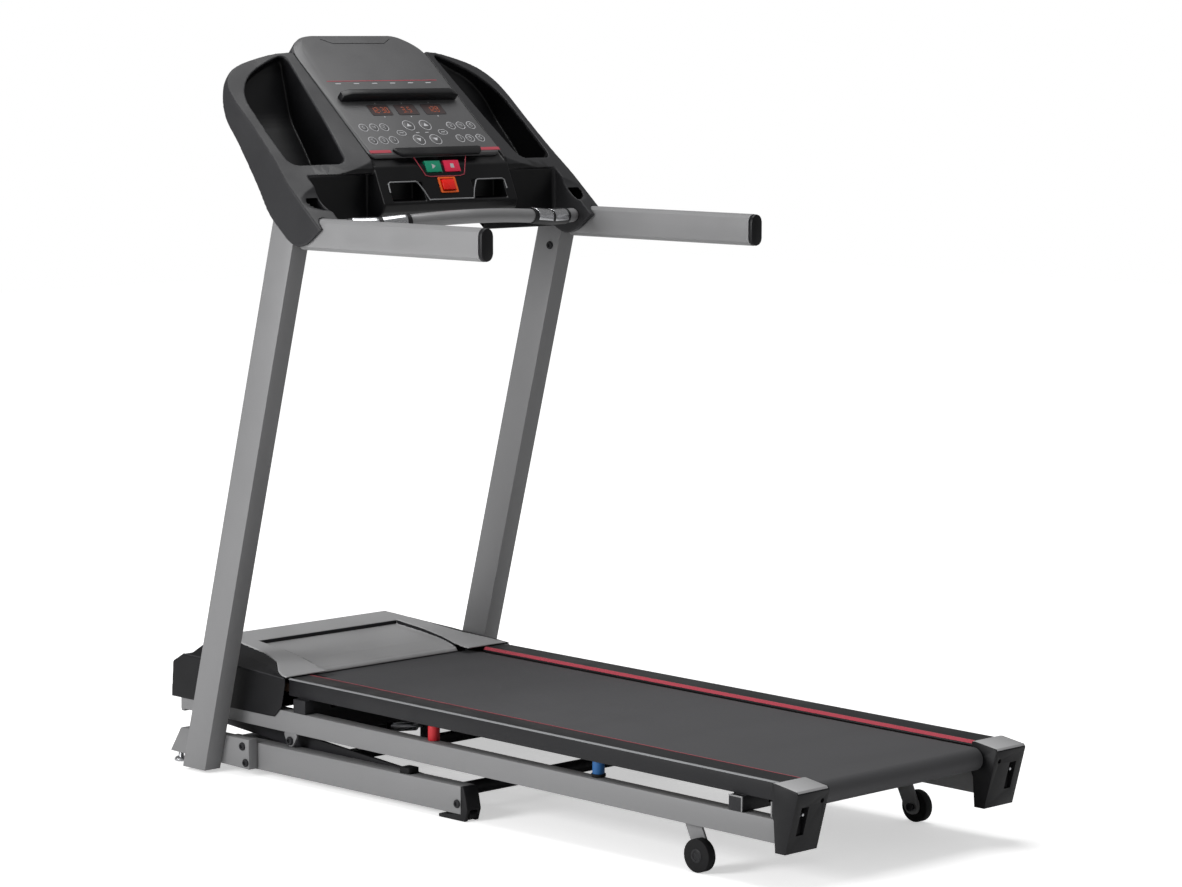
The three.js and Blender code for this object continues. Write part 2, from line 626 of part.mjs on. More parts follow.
function addRunningBelt() {
  const inner = ROLLER.radius + GAP;
  const loop = hole(bandPoints(inner, ROLLER.front, ROLLER.rear, ROLLER_Z));
  const band = bandPoints(BELT_RADIUS, ROLLER.front, ROLLER.rear, ROLLER_Z);
  add('running_belt', alongX(band, -BELT.half, BELT.half, [loop]), FINISH.belt, deck);
}

const SHAFT = { radius: 8, rear: 292, front: 303 };
const PULLEY = { from: 261, to: 279, roller: 30, motor: 20, band: 2.2 };
const MOTOR = { y: 1492, z: 189, radius: 42 };

function addRollers() {
  const rear = join(
    discX(ROLLER.rear, ROLLER_Z, ROLLER.radius, -BELT.half, BELT.half),
    discX(ROLLER.rear, ROLLER_Z, SHAFT.radius, -SHAFT.rear, SHAFT.rear),
  );
  add('rear_roller', rear, FINISH.zinc, deck);
  const front = join(
    discX(ROLLER.front, ROLLER_Z, ROLLER.radius, -256, 256),
    discX(ROLLER.front, ROLLER_Z, SHAFT.radius, -SHAFT.front, SHAFT.front),
    discX(ROLLER.front, ROLLER_Z, PULLEY.roller, -PULLEY.to, -PULLEY.from),
  );
  add('front_roller', front, FINISH.zinc, deck);
}

function addDrive() {
  add('drive_motor', discX(MOTOR.y, MOTOR.z, MOTOR.radius, -236, -40), FINISH.blackSteel, deck);
  const pulley = join(
    discX(MOTOR.y, MOTOR.z, PULLEY.motor, -PULLEY.to, -PULLEY.from),
    discX(MOTOR.y, MOTOR.z, 24, -PULLEY.from - 0.1, -246),
    discX(MOTOR.y, MOTOR.z, 8, -247, -236 - GAP),
  );
  add('motor_pulley', pulley, FINISH.zinc, deck);
  add('drive_belt', driveBelt(), FINISH.rubber, deck);
  add('motor_controller', box(30, 190, 1430, 1560, 146, 178), FINISH.zinc, deck);
}

// An open belt round two pulleys of different size, from its two outer tangents.
function driveBeltPoints(extra) {
  const dy = ROLLER.front - MOTOR.y;
  const dz = ROLLER_Z - MOTOR.z;
  const way = Math.atan2(dz, dy);
  const lean = Math.acos((PULLEY.roller - PULLEY.motor) / Math.hypot(dy, dz));
  const arc = (y, z, radius, start, end) => {
    const points = [];
    for (let i = 0; i <= 16; i += 1) {
      const angle = start + ((end - start) * i) / 16;
      points.push([y + radius * Math.cos(angle), z + radius * Math.sin(angle)]);
    }
    return points;
  };
  return [
    ...arc(ROLLER.front, ROLLER_Z, PULLEY.roller + extra, way - lean, way + lean),
    ...arc(MOTOR.y, MOTOR.z, PULLEY.motor + extra, way + lean, way - lean + 2 * Math.PI),
  ];
}

function driveBelt() {
  const slack = 2 * GAP;
  const inside = hole(driveBeltPoints(slack));
  return alongX(driveBeltPoints(PULLEY.band + slack), -PULLEY.to + 1, -PULLEY.from - 1, [inside]);
}

function addCushions() {
  for (const [colour, finish, y] of [['red', FINISH.redRubber, 804], ['blue', FINISH.blueRubber, 306]]) {
    for (const [name, side] of SIDES) {
      const x = side * 313;
      const puck = alongZ(circlePoints(x, y, 13, 16), DECK_TUBE.top + GAP, BOARD.bottom - GAP);
      add(`cushion_${colour}_${name}`, puck, finish, deck);
    }
  }
}

function addWheel(name, side) {
  const [x0, x1] = sideRange(side, WHEEL.inner, WHEEL.inner + WHEEL.width);
  const stub = sideRange(side, 310, WHEEL.inner + 1);
  const wheel = join(
    discX(0, WHEEL.radius, WHEEL.radius, x0, x1, 0, 36),
    discX(0, WHEEL.radius, 6, ...stub, 0, 16),
  );
  add(`rear_wheel_${name}`, wheel, FINISH.rubber);
}

// ---------------------------------------------------------------- motor covers
// The hood's top line in the YZ plane, and the right half of its plan.
const HOOD_TOP = [
  [1262, 232], [1290, 235], [1312, 240], [1354, 250], [1413, 260], [1512, 270.5], [1599, 276],
  [1614, 271], [1626, 252],
];
const HOOD_PLAN = [
  [337, 1262], [334, 1282], [322, 1306], [304, 1330], [286, 1354], [270, 1413], [260, 1512],
  [258, 1599], [256, 1626],
];
const LEDGE = { rear: [1262, 228], bend: [1436, 239], front: [1619, 241] };

// The panel let into the hood: its half-width, its front edge and its own falling top line.
const INSET = { half: 212, front: 1507, thickness: 4 };
const INSET_TOP = [
  [1296, 222.6], [1301, 229], [1311, 234.5], [1330, 241], [1360, 247], [1410, 252.5], [1507, 259],
];

// The height of the black body's top at a given y.
function ledgeAt(y) {
  const { rear, bend, front } = LEDGE;
  const [from, to] = y < bend[0] ? [rear, bend] : [bend, front];
  return from[1] + ((to[1] - from[1]) * (y - from[0])) / (to[0] - from[0]);
}

// The height of a line of (y, z) points at a given y.
function heightAt(line, y) {
  const next = Math.max(1, line.findIndex(([a]) => a >= y));
  const [from, to] = [line[next - 1], line[next]];
  return from[1] + ((to[1] - from[1]) * (y - from[0])) / (to[0] - from[0]);
}

// A closed solid through a row of outlines with the same number of points.
function skin(sections) {
  const count = sections[0].length;
  const corners = sections.flat().map(([x, y, z]) => new THREE.Vector3(x, y, z));
  const last = (sections.length - 1) * count;
  const faces = [];
  for (let i = 1; i + 1 < count; i += 1) {
    faces.push([0, i + 1, i], [last, last + i, last + i + 1]);
  }
  for (let row = 0; row + 1 < sections.length; row += 1) {
    for (let i = 0; i < count; i += 1) {
      const a = row * count + i;
      const b = row * count + ((i + 1) % count);
      faces.push([a, b, b + count], [a, b + count, a + count]);
    }
  }
  return new THREE.BufferGeometry().setFromPoints(faces.flat().map((i) => corners[i]));
}

// The black shoulder that runs down from the hood's edge to the body's side.
function shoulder(side) {
  const foot = COVER.outer - 3;
  const clear = 0.8;
  const sections = HOOD_PLAN.slice(0, -1).map(([x, y]) => {
    const low = ledgeAt(y) - 1.5;
    const section = [
      [x + clear, y, low], [foot, y, low], [foot, y, low + 2],
      [(x + clear + foot) / 2, y, (low + heightAt(HOOD_TOP, y)) / 2 + 3],
      [x + clear, y, heightAt(HOOD_TOP, y) - clear],
    ];
    const placed = section.map(([a, b, c]) => [side * a, b, c]);
    return side > 0 ? placed.reverse() : placed;
  });
  return skin(sections);
}

// The black lower body: a box open underneath and behind, with its two shoulders.
function addMotorCover() {
  const { outer, wall, rear, front, bottom } = COVER;
  const profile = [
    [rear + 12, 164], [rear + 37, bottom], [front, bottom], [front - 7, 221], LEDGE.front,
    LEDGE.bend, [rear, 228], [rear, 215],
  ];
  const shell = solid(alongX(profile, -outer, outer));
  const inside = alongX([
    [rear - 20, 100], [front - wall, 100], [front - 7 - wall, 219], [front - 44, 238], [1436, 236],
    [rear - 20, 223.5],
  ], wall - outer, outer - wall);
  const mouth = box(-240, 240, rear - 20, 1600, 200, 260);
  const railWay = box(wall - outer, outer - wall, rear - 10, RAIL.front + 4, 100, 260);
  const shoulders = SIDES.map(([, side]) => solid(shoulder(side)));
  const body = shoulders.reduce((whole, next) => whole.add(next), cut(shell, inside, mouth));
  add('motor_cover_body', cut(body, railWay), FINISH.blackPlastic);
}

// The hood as a solid, shrunk by a margin, without the room above the inset panel.
function hoodSolid(margin) {
  const top = HOOD_TOP.map(([y, z]) => [y, z - margin]);
  const [low, bend, high] = [LEDGE.front, LEDGE.bend, LEDGE.rear].map(([y, z]) => [y, z + 0.6 - margin]);
  const under = [[1626 - margin, low[1]], bend, high];
  const half = HOOD_PLAN.map(([x, y]) => [x - margin, y]);
  const plan = [...half, ...half.map(([x, y]) => [-x, y]).reverse()];
  const dome = common(alongX([...top, ...under], -COVER.outer, COVER.outer), alongZ(plan, 200, 300));
  const { half: wide, front } = INSET;
  const floor = INSET_TOP.map(([y, z]) => [y, z - margin]);
  const room = alongX([...floor, [front, 300], [1240, 300], [1240, 224]], -wide - margin, wide + margin);
  return cut(dome, margin ? room.translate(0, margin, 0) : room);
}

// The hood: a thin frame round a panel that falls towards the belt.
function addHood() {
  const { half, thickness } = INSET;
  const inside = hoodSolid(thickness).intersect(solid(box(-400, 400, 1270, 1618, 200, 300)));
  const plate = [...INSET_TOP, ...INSET_TOP.map(([y, z]) => [y, z - thickness]).reverse()];
  const open = box(-half - thickness, half + thickness, 1240, 1596, 200, 236);
  const frame = cut(hoodSolid(0).subtract(inside), open).add(solid(alongX(plate, -half - 1, half + 1)));
  add('motor_hood', cut(frame, box(-half, half, 1240, 1296, 200, 300)), FINISH.greyPlastic);
}

// The tray that carries the motor lies across the deck tubes.
function addMotorTray() {
  const { top, front } = DECK_TUBE;
  const tray = box(-336, 336, 1302, front - 8, top + GAP, top + GAP + 2.5);
  const bearings = SIDES.map(([, side]) => sideBox(side, 295, 304, 1355, 1395, top + 1, ROLLER_Z + 14));
  const seat = box(-220, -60, MOTOR.y - 30, MOTOR.y + 30, top + 1, MOTOR.z - MOTOR.radius * 0.9);
  const shaft = discX(ROLLER.front, ROLLER_Z, SHAFT.radius + GAP, -320, 320);
  const motor = discX(MOTOR.y, MOTOR.z, MOTOR.radius + GAP, -240, -30);
  add('motor_tray', cut(join(tray, ...bearings, seat), shaft, motor), FINISH.zinc, deck);
}

// ---------------------------------------------------------------- lift frame, hinge, actuator, strut
const EAR = { x0: 292, x1: 301 };
const CRANK = { y: 1180, z: 88 };                    // actuator's pin on the lift frame
const LIFT_MOTOR = { y: 1434, z: 44 };               // actuator's pin on the base
const STRUT = { x: 232, lowY: 1490, lowZ: 78, highY: 985, highZ: 100 };

function addLiftFrame() {
  const rise = (y) => LIFT.z + ((HINGE.z - 34 - LIFT.z) * (y - LIFT.y)) / (HINGE.y - LIFT.y);
  const armSide = [
    [LIFT.y - 16, LIFT.z - 14], [LIFT.y + 30, LIFT.z - 14], [HINGE.y - 10, rise(HINGE.y) - 14],
    [HINGE.y + 18, HINGE.z - 12], [HINGE.y + 16, HINGE.z + 14], [HINGE.y - 16, HINGE.z + 14],
    [HINGE.y - 30, rise(HINGE.y) + 16], [LIFT.y, LIFT.z + 16], [LIFT.y - 16, LIFT.z + 10],
  ];
  const pieces = SIDES.map(([, side]) => alongX(armSide, ...sideRange(side, EAR.x0, EAR.x1)));
  const pin = discX(LIFT.y, LIFT.z, LIFT.radius, -LIFT.pin, LIFT.pin);
  const torque = discX(LIFT.y, LIFT.z, 15, -EAR.x0 - 1, EAR.x0 + 1);
  const middle = box(-EAR.x0 - 1, EAR.x0 + 1, CRANK.y - 30, CRANK.y, rise(CRANK.y) - 30, rise(CRANK.y) - 10);
  const lug = box(-5, 5, CRANK.y - 16, CRANK.y + 6, rise(CRANK.y) - 12, CRANK.z + 6);
  const shaft = discX(HINGE.y, HINGE.z, HINGE.radius + 0.5, -320, 320);
  add('lift_frame', cut(join(...pieces, pin, torque, middle, lug), shaft), FINISH.blackSteel);
}

function addHingeShaft() {
  const shaft = discX(HINGE.y, HINGE.z, HINGE.radius, -309, 309);
  const armPlate = [
    [HINGE.y + 8, HINGE.z + 9], [HINGE.y - 10, HINGE.z + 9], [STRUT.lowY - 8, STRUT.lowZ + 8],
    [STRUT.lowY - 8, STRUT.lowZ - 9], [STRUT.lowY + 12, STRUT.lowZ - 9], [HINGE.y + 8, HINGE.z - 9],
  ];
  const plate = alongX(armPlate, STRUT.x + 20, STRUT.x + 26);
  const pin = discX(STRUT.lowY, STRUT.lowZ, 5, STRUT.x - 12, STRUT.x + 21);
  add('hinge_shaft', join(shaft, plate, pin), FINISH.blackSteel);
}

const towards = (from, to, reach) => {
  const run = Math.hypot(to[0] - from[0], to[1] - from[1]);
  return [from[0] + ((to[0] - from[0]) * reach) / run, from[1] + ((to[1] - from[1]) * reach) / run];
};

// The lift actuator: a tube with its gear motor beside it, and a screw with a two-pronged end.
function addActuator() {
  const from = [LIFT_MOTOR.y, LIFT_MOTOR.z];
  const to = [CRANK.y, CRANK.z];
  const run = Math.hypot(to[0] - from[0], to[1] - from[1]);
  const at = (reach) => towards(from, to, reach);
  const body = join(
    rodInPlane(0, at(10), at(150), 17),
    discX(...from, 13, -10, 10),
    rodInPlane(34, at(24), at(100), 18),
  );
  const tube = cut(body, rodInPlane(0, at(40), at(160), 10.5), discX(...from, 5.5, -40, 40));
  add('lift_motor', tube, FINISH.blackSteel);
  const prongs = [-9.5, 9.5].map((x) => rodInPlane(x, at(run - 36), at(run + 6), 3));
  add('lift_screw', join(rodInPlane(0, at(60), at(run - 28), 10), ...prongs), FINISH.zinc);
}

// The folding strut: a barrel pinned to the hinge shaft's arm and a rod pinned to the deck.
function addStrut() {
  const { x } = STRUT;
  const low = [STRUT.lowY, STRUT.lowZ];
  const high = [STRUT.highY, STRUT.highZ];
  const run = Math.hypot(high[0] - low[0], high[1] - low[1]);
  const at = (reach) => towards(low, high, reach);
  const barrel = cut(
    join(rodInPlane(x, at(8), at(310), 12), discX(...low, 11, x - 6, x + 6)),
    rodInPlane(x, at(40), at(320), 6.4),
    discX(...low, 5.4, x - 20, x + 20),
  );
  add('strut_barrel', barrel, FINISH.blackSteel);
  const rod = join(rodInPlane(x, at(60), at(run - 6), 6), discX(...high, 9, x - 5, x + 5));
  add('strut_rod', rod, FINISH.zinc);
}

// ---------------------------------------------------------------- assembly
for (const [name, side] of SIDES) {
  addUpright(name, side);
  addBaseTube(name, side);
  addFootBracket(name, side);
  addLevellingFoot(name, side);
  addBaseEnd(name, side);
  addArm(name, side);
  addDeckTube(name, side);
  addRail(name, side);
  addRearCap(name, side);
  addWheel(name, side);
}
addBaseCrossTube();
addGrip();
addConsole();
addDeckCrossBars();
addBoard();
addRunningBelt();
addRollers();
addDrive();
addMotorTray();
addCushions();
addMotorCover();
addHood();
addLiftFrame();
addHingeShaft();
addActuator();
addStrut();

const extent = new THREE.Box3().setFromObject(treadmill);
treadmill.position.y = -(extent.min.y + extent.max.y) / 2;
const part = new THREE.Group();
part.add(treadmill);

export default part;
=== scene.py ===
"""Looks for the folding treadmill: finishes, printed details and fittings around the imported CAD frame."""

import json
import math

import bmesh
import bpy
from mathutils import Matrix, Vector

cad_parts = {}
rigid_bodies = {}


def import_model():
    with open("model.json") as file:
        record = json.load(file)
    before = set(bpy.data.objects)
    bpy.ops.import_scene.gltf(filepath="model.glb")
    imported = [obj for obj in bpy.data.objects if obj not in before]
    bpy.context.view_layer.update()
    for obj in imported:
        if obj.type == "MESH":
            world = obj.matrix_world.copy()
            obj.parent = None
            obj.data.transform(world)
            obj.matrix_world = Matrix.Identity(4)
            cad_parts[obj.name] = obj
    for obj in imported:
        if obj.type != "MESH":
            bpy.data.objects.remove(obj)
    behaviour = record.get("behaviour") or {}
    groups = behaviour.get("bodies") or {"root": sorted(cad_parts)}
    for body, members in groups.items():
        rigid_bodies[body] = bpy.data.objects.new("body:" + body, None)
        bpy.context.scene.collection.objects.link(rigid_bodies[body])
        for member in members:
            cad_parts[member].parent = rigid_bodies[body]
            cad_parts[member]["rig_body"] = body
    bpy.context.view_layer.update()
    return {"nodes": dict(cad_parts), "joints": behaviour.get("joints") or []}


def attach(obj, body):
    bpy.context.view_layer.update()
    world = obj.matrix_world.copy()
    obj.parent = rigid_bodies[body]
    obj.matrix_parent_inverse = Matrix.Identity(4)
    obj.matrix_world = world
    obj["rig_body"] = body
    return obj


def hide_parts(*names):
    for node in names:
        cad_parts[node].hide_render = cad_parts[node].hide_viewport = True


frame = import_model()
joints = {j["name"]: j for j in frame["joints"]}

# ---------------------------------------------------------------- where things are
# Lengths are laid out in millimetres from the rear axle, as the frame itself is.
MM = 0.001
AXLE = Vector(joints["rear_wheel_left_spin"]["pos_m"])
SIDES = (("left", -1), ("right", 1))
DECK_PITCH = math.atan(0.0115)
HEAD = {"y": 1128.8, "z": 1388.6, "tilt": 0.7193}
FASCIA = {"y": 1111.0, "z": 1358.0, "lean": math.atan(0.44)}


def plain(x, y, z):
    """A point given from the rear axle, in millimetres, in the frame's metres."""
    return Vector((x * MM, AXLE.y + y * MM, z * MM))


def on_deck(x, y, z):
    """A point in the deck's own pitched axes."""
    c, s = math.cos(DECK_PITCH), math.sin(DECK_PITCH)
    return plain(x, y * c - z * s, y * s + z * c)


def on_head(s, t, n):
    """Across the console face, up it, and out of it."""
    c, k = math.cos(HEAD["tilt"]), math.sin(HEAD["tilt"])
    return plain(s, HEAD["y"] + t * c - n * k, HEAD["z"] + t * k + n * c)


def on_fascia(s, t, n):
    """Across the leaning fascia, up it from the keys' middle, and out of it."""
    c, k = math.cos(FASCIA["lean"]), math.sin(FASCIA["lean"])
    return plain(s, FASCIA["y"] + t * k - n * c, FASCIA["z"] + t * c + n * k)


def fascia_axes(point):
    """The reverse of on_fascia: across, up and out, in millimetres."""
    c, k = math.cos(FASCIA["lean"]), math.sin(FASCIA["lean"])
    x, y, z = point / MM
    y -= AXLE.y / MM + FASCIA["y"]
    z -= FASCIA["z"]
    return x, y * k + z * c, z * k - y * c


def facing_x(x0, sign=1):
    """Places an outline given as (y, z) with its depth along X."""
    return lambda a, b, c: plain(x0 + sign * c, a, b)


# ---------------------------------------------------------------- materials
def linear(value):
    value /= 255.0
    return value / 12.92 if value <= 0.04045 else ((value + 0.055) / 1.055) ** 2.4


def tone(red, green, blue):
    return (linear(red), linear(green), linear(blue), 1.0)


def scaled(colour, factor):
    return tuple(min(1.0, c * factor) for c in colour[:3]) + (1.0,)


def ramp(tree, source, low, high, low_at=0.35, high_at=0.65):
    """A colour ramp between two colours, driven by a factor socket."""
    node = tree.nodes.new("ShaderNodeValToRGB")
    node.color_ramp.elements[0].position = low_at
    node.color_ramp.elements[0].color = low
    node.color_ramp.elements[1].position = high_at
    node.color_ramp.elements[1].color = high
    tree.links.new(source, node.inputs["Fac"])
    return node.outputs["Color"]


def noise(tree, coords, scale, detail=3.0, rough=0.55):
    """A noise texture's factor over the object's own coordinates."""
    node = tree.nodes.new("ShaderNodeTexNoise")
    node.inputs["Scale"].default_value = scale
    node.inputs["Detail"].default_value = detail
    node.inputs["Roughness"].default_value = rough
    tree.links.new(coords, node.inputs["Vector"])
    return node.outputs["Fac"]


def mapped(tree, source, low, high):
    """Spreads the middle of a noise factor over a range of values."""
    node = tree.nodes.new("ShaderNodeMapRange")
    node.inputs["To Min"].default_value = low
    node.inputs["To Max"].default_value = high
    node.inputs["From Min"].default_value = 0.3
    node.inputs["From Max"].default_value = 0.7
    tree.links.new(source, node.inputs["Value"])
    return node.outputs["Result"]


def mix(tree, factor, first, second):
    """Two colours mixed by a factor; the second may be a plain colour."""
    node = tree.nodes.new("ShaderNodeMix")
    node.data_type = "RGBA"
    tree.links.new(factor, node.inputs["Factor"])
    tree.links.new(first, node.inputs["A"])
    if isinstance(second, tuple):
        node.inputs["B"].default_value = second
    else:
        tree.links.new(second, node.inputs["B"])
    return node.outputs["Result"]


def bumped(tree, height, strength, distance):
    """A normal roughened by a height."""
    node = tree.nodes.new("ShaderNodeBump")
    node.inputs["Strength"].default_value = strength
    node.inputs["Distance"].default_value = distance
    tree.links.new(height, node.inputs["Height"])
    return node.outputs["Normal"]


def edge_mask(tree, low=0.52, high=0.6):
    """White where the surface is most convex, which is where paint and plastic wear pale."""
    geometry = tree.nodes.new("ShaderNodeNewGeometry")
    node = tree.nodes.new("ShaderNodeMapRange")
    node.inputs["From Min"].default_value = low
    node.inputs["From Max"].default_value = high
    tree.links.new(geometry.outputs["Pointiness"], node.inputs["Value"])
    return node.outputs["Result"]


def new_surface(name):
    """A fresh material with its tree, its shader and its coordinates."""
    material = bpy.data.materials.new(name)
    material.use_nodes = True
    tree = material.node_tree
    shader = tree.nodes["Principled BSDF"]
    coords = tree.nodes.new("ShaderNodeTexCoord").outputs["Object"]
    return material, tree, shader, coords


def finish(name, colour, rough, metallic=0.0, mottle=0.08, grain=900.0, bump=0.15, edge=1.25,
           coat=0.0, specular=0.5, spread=0.08):
    """A moulded or painted surface: soft mottling, fine grain, uneven gloss and paler edges."""
    material, tree, shader, coords = new_surface(name)
    broad = noise(tree, coords, 9.0, 4.0)
    fine = noise(tree, coords, grain, 2.0)
    body = ramp(tree, broad, scaled(colour, 1 - mottle), scaled(colour, 1 + mottle))
    speck = ramp(tree, fine, scaled(colour, 1 - mottle), scaled(colour, 1 + mottle), 0.3, 0.7)
    half = tree.nodes.new("ShaderNodeMix")
    half.data_type = "RGBA"
    half.inputs["Factor"].default_value = 0.5
    tree.links.new(body, half.inputs["A"])
    tree.links.new(speck, half.inputs["B"])
    colour_out = mix(tree, edge_mask(tree), half.outputs["Result"], scaled(colour, edge))
    tree.links.new(colour_out, shader.inputs["Base Color"])
    tree.links.new(mapped(tree, broad, rough - spread, rough + spread), shader.inputs["Roughness"])
    tree.links.new(bumped(tree, fine, bump, 0.0004), shader.inputs["Normal"])
    shader.inputs["Metallic"].default_value = metallic
    shader.inputs["Coat Weight"].default_value = coat
    shader.inputs["Coat Roughness"].default_value = 0.18
    shader.inputs["Specular IOR Level"].default_value = specular
    return material


def brushed(name, colour, rough, stretch=(4.0, 220.0, 220.0)):
    """Bare or plated metal with fine drawn lines."""
    material, tree, shader, coords = new_surface(name)
    scale = tree.nodes.new("ShaderNodeMapping")
    scale.inputs["Scale"].default_value = stretch
    tree.links.new(coords, scale.inputs["Vector"])
    lines = noise(tree, scale.outputs["Vector"], 6.0, 5.0)
    drawn = ramp(tree, lines, scaled(colour, 0.82), scaled(colour, 1.12))
    tree.links.new(drawn, shader.inputs["Base Color"])
    tree.links.new(mapped(tree, lines, rough - 0.07, rough + 0.1), shader.inputs["Roughness"])
    tree.links.new(bumped(tree, lines, 0.12, 0.0002), shader.inputs["Normal"])
    shader.inputs["Metallic"].default_value = 1.0
    return material


def woven_belt(name, colour):
    """The belt's top: a fine grid of raised lozenges over a broad mottling."""
    material, tree, shader, coords = new_surface(name)
    turn = tree.nodes.new("ShaderNodeMapping")
    turn.inputs["Rotation"].default_value = (0.0, 0.0, math.radians(45))
    tree.links.new(coords, turn.inputs["Vector"])
    checks = tree.nodes.new("ShaderNodeTexVoronoi")
    checks.feature = "F1"
    checks.distance = "CHEBYCHEV"
    checks.inputs["Scale"].default_value = 420.0
    checks.inputs["Randomness"].default_value = 0.12
    tree.links.new(turn.outputs["Vector"], checks.inputs["Vector"])
    broad = noise(tree, coords, 5.0, 5.0)
    body = ramp(tree, broad, scaled(colour, 0.9), scaled(colour, 1.1))
    weave = ramp(tree, checks.outputs["Distance"], scaled(colour, 1.15), scaled(colour, 0.75), 0.2, 0.8)
    half = tree.nodes.new("ShaderNodeMix")
    half.data_type = "RGBA"
    half.inputs["Factor"].default_value = 0.35
    tree.links.new(body, half.inputs["A"])
    tree.links.new(weave, half.inputs["B"])
    tree.links.new(half.outputs["Result"], shader.inputs["Base Color"])
    tree.links.new(mapped(tree, broad, 0.66, 0.82), shader.inputs["Roughness"])
    tree.links.new(bumped(tree, checks.outputs["Distance"], 0.35, 0.0005), shader.inputs["Normal"])
    return material


def glowing(name, colour, strength):
    """A lit surface with a faint grain."""
    material, tree, shader, coords = new_surface(name)
    cells = noise(tree, coords, 1500.0, 1.0)
    lit = ramp(tree, cells, scaled(colour, 0.8), scaled(colour, 1.1))
    tree.links.new(lit, shader.inputs["Base Color"])
    tree.links.new(lit, shader.inputs["Emission Color"])
    shader.inputs["Emission Strength"].default_value = strength
    shader.inputs["Roughness"].default_value = 0.4
    return material


FRAME_GREY = finish("frame_grey_paint", tone(124, 124, 125), 0.5, 0.1, grain=1400, bump=0.1, edge=1.2,
                    specular=0.35)
ARM_GREY = finish("arm_grey_paint", tone(134, 134, 135), 0.4, 0.2, grain=1600, bump=0.08, edge=1.15)
BLACK_STEEL = finish("black_steel_paint", tone(30, 30, 32), 0.5, bump=0.12, edge=1.8, specular=0.25)
BLACK = finish("black_plastic", tone(20, 20, 22), 0.45, grain=1100, bump=0.2, edge=1.8, specular=0.25)
RAIL_BLACK = finish("rail_black_plastic", tone(21, 21, 23), 0.42, grain=1300, bump=0.18, edge=2.0,
                    specular=0.3)
CHARCOAL = finish("charcoal_plastic", tone(43, 43, 45), 0.5, grain=1200, bump=0.2, edge=1.3, specular=0.3)
# The fascia's and ledges' own near-black; on the console it also paints the shade in the pockets and under
# the wings.
FASCIA_BLACK_AND_SHADE = finish("fascia_black_plastic_and_painted_shade", tone(15, 15, 17), 0.36, grain=1500, bump=0.1, edge=1.6,
                      specular=0.3)
PANEL = finish("panel_grey_plastic", tone(86, 86, 87), 0.42, grain=1800, bump=0.08, edge=1.3,
               specular=0.35)
HOOD = finish("hood_grey_plastic", tone(174, 174, 175), 0.4, grain=1700, bump=0.08, edge=1.15, coat=0.1)
BELT = woven_belt("running_belt_rubber", tone(72, 72, 74))
BOARD = finish("board_coated_wood", tone(60, 44, 34), 0.6, grain=300, bump=0.3)
RUBBER = finish("black_rubber", tone(22, 22, 23), 0.7, grain=700, bump=0.3, edge=1.5, specular=0.2)
RED_RUBBER = finish("red_rubber", tone(176, 24, 34), 0.5, grain=800, bump=0.15)
BLUE_RUBBER = finish("blue_rubber", tone(22, 84, 140), 0.5, grain=800, bump=0.15)
RED_STRIPE = finish("red_stripe", tone(160, 62, 74), 0.3, grain=1800, bump=0.05)
GREEN_KEY = finish("green_key_plastic", tone(12, 140, 106), 0.3, grain=1800, bump=0.05, coat=0.2)
RED_KEY = finish("red_key_plastic", tone(226, 36, 76), 0.3, grain=1800, bump=0.05, coat=0.2)
SAFETY_RED = finish("safety_key_plastic", tone(240, 22, 8), 0.3, grain=1800, bump=0.05, coat=0.2)
ORANGE = finish("orange_rim", tone(240, 100, 34), 0.35, grain=1800, bump=0.05)
PRINT = finish("pale_print", tone(176, 176, 179), 0.5, grain=2000, bump=0.03)
# Pale trim on the trays' edges; the same colour paints the highlight along the rails' outer edges.
PALE_TRIM_AND_HIGHLIGHT = finish("pale_trim_and_painted_highlight", tone(128, 129, 131), 0.4, grain=1600, bump=0.08)
WINDOW = finish("window_smoked_plastic", tone(62, 52, 52), 0.3, grain=2000, bump=0.02, coat=0.2,
                specular=0.3)
CIRCUIT = finish("circuit_green", tone(30, 92, 58), 0.4, grain=500, bump=0.2)
STEEL = brushed("zinc_steel", tone(196, 197, 200), 0.3)
CHROME = brushed("contact_plate_chrome", tone(206, 207, 210), 0.2)
LED = glowing("led_orange", tone(172, 84, 56), 0.25)

# ---------------------------------------------------------------- mesh building
def ring_faces(here, there, count):
    """Four-sided faces between two rings of the same number of points."""
    turn = [(k, (k + 1) % count) for k in range(count)]
    return [(here + a, here + b, there + b, there + a) for a, b in turn]


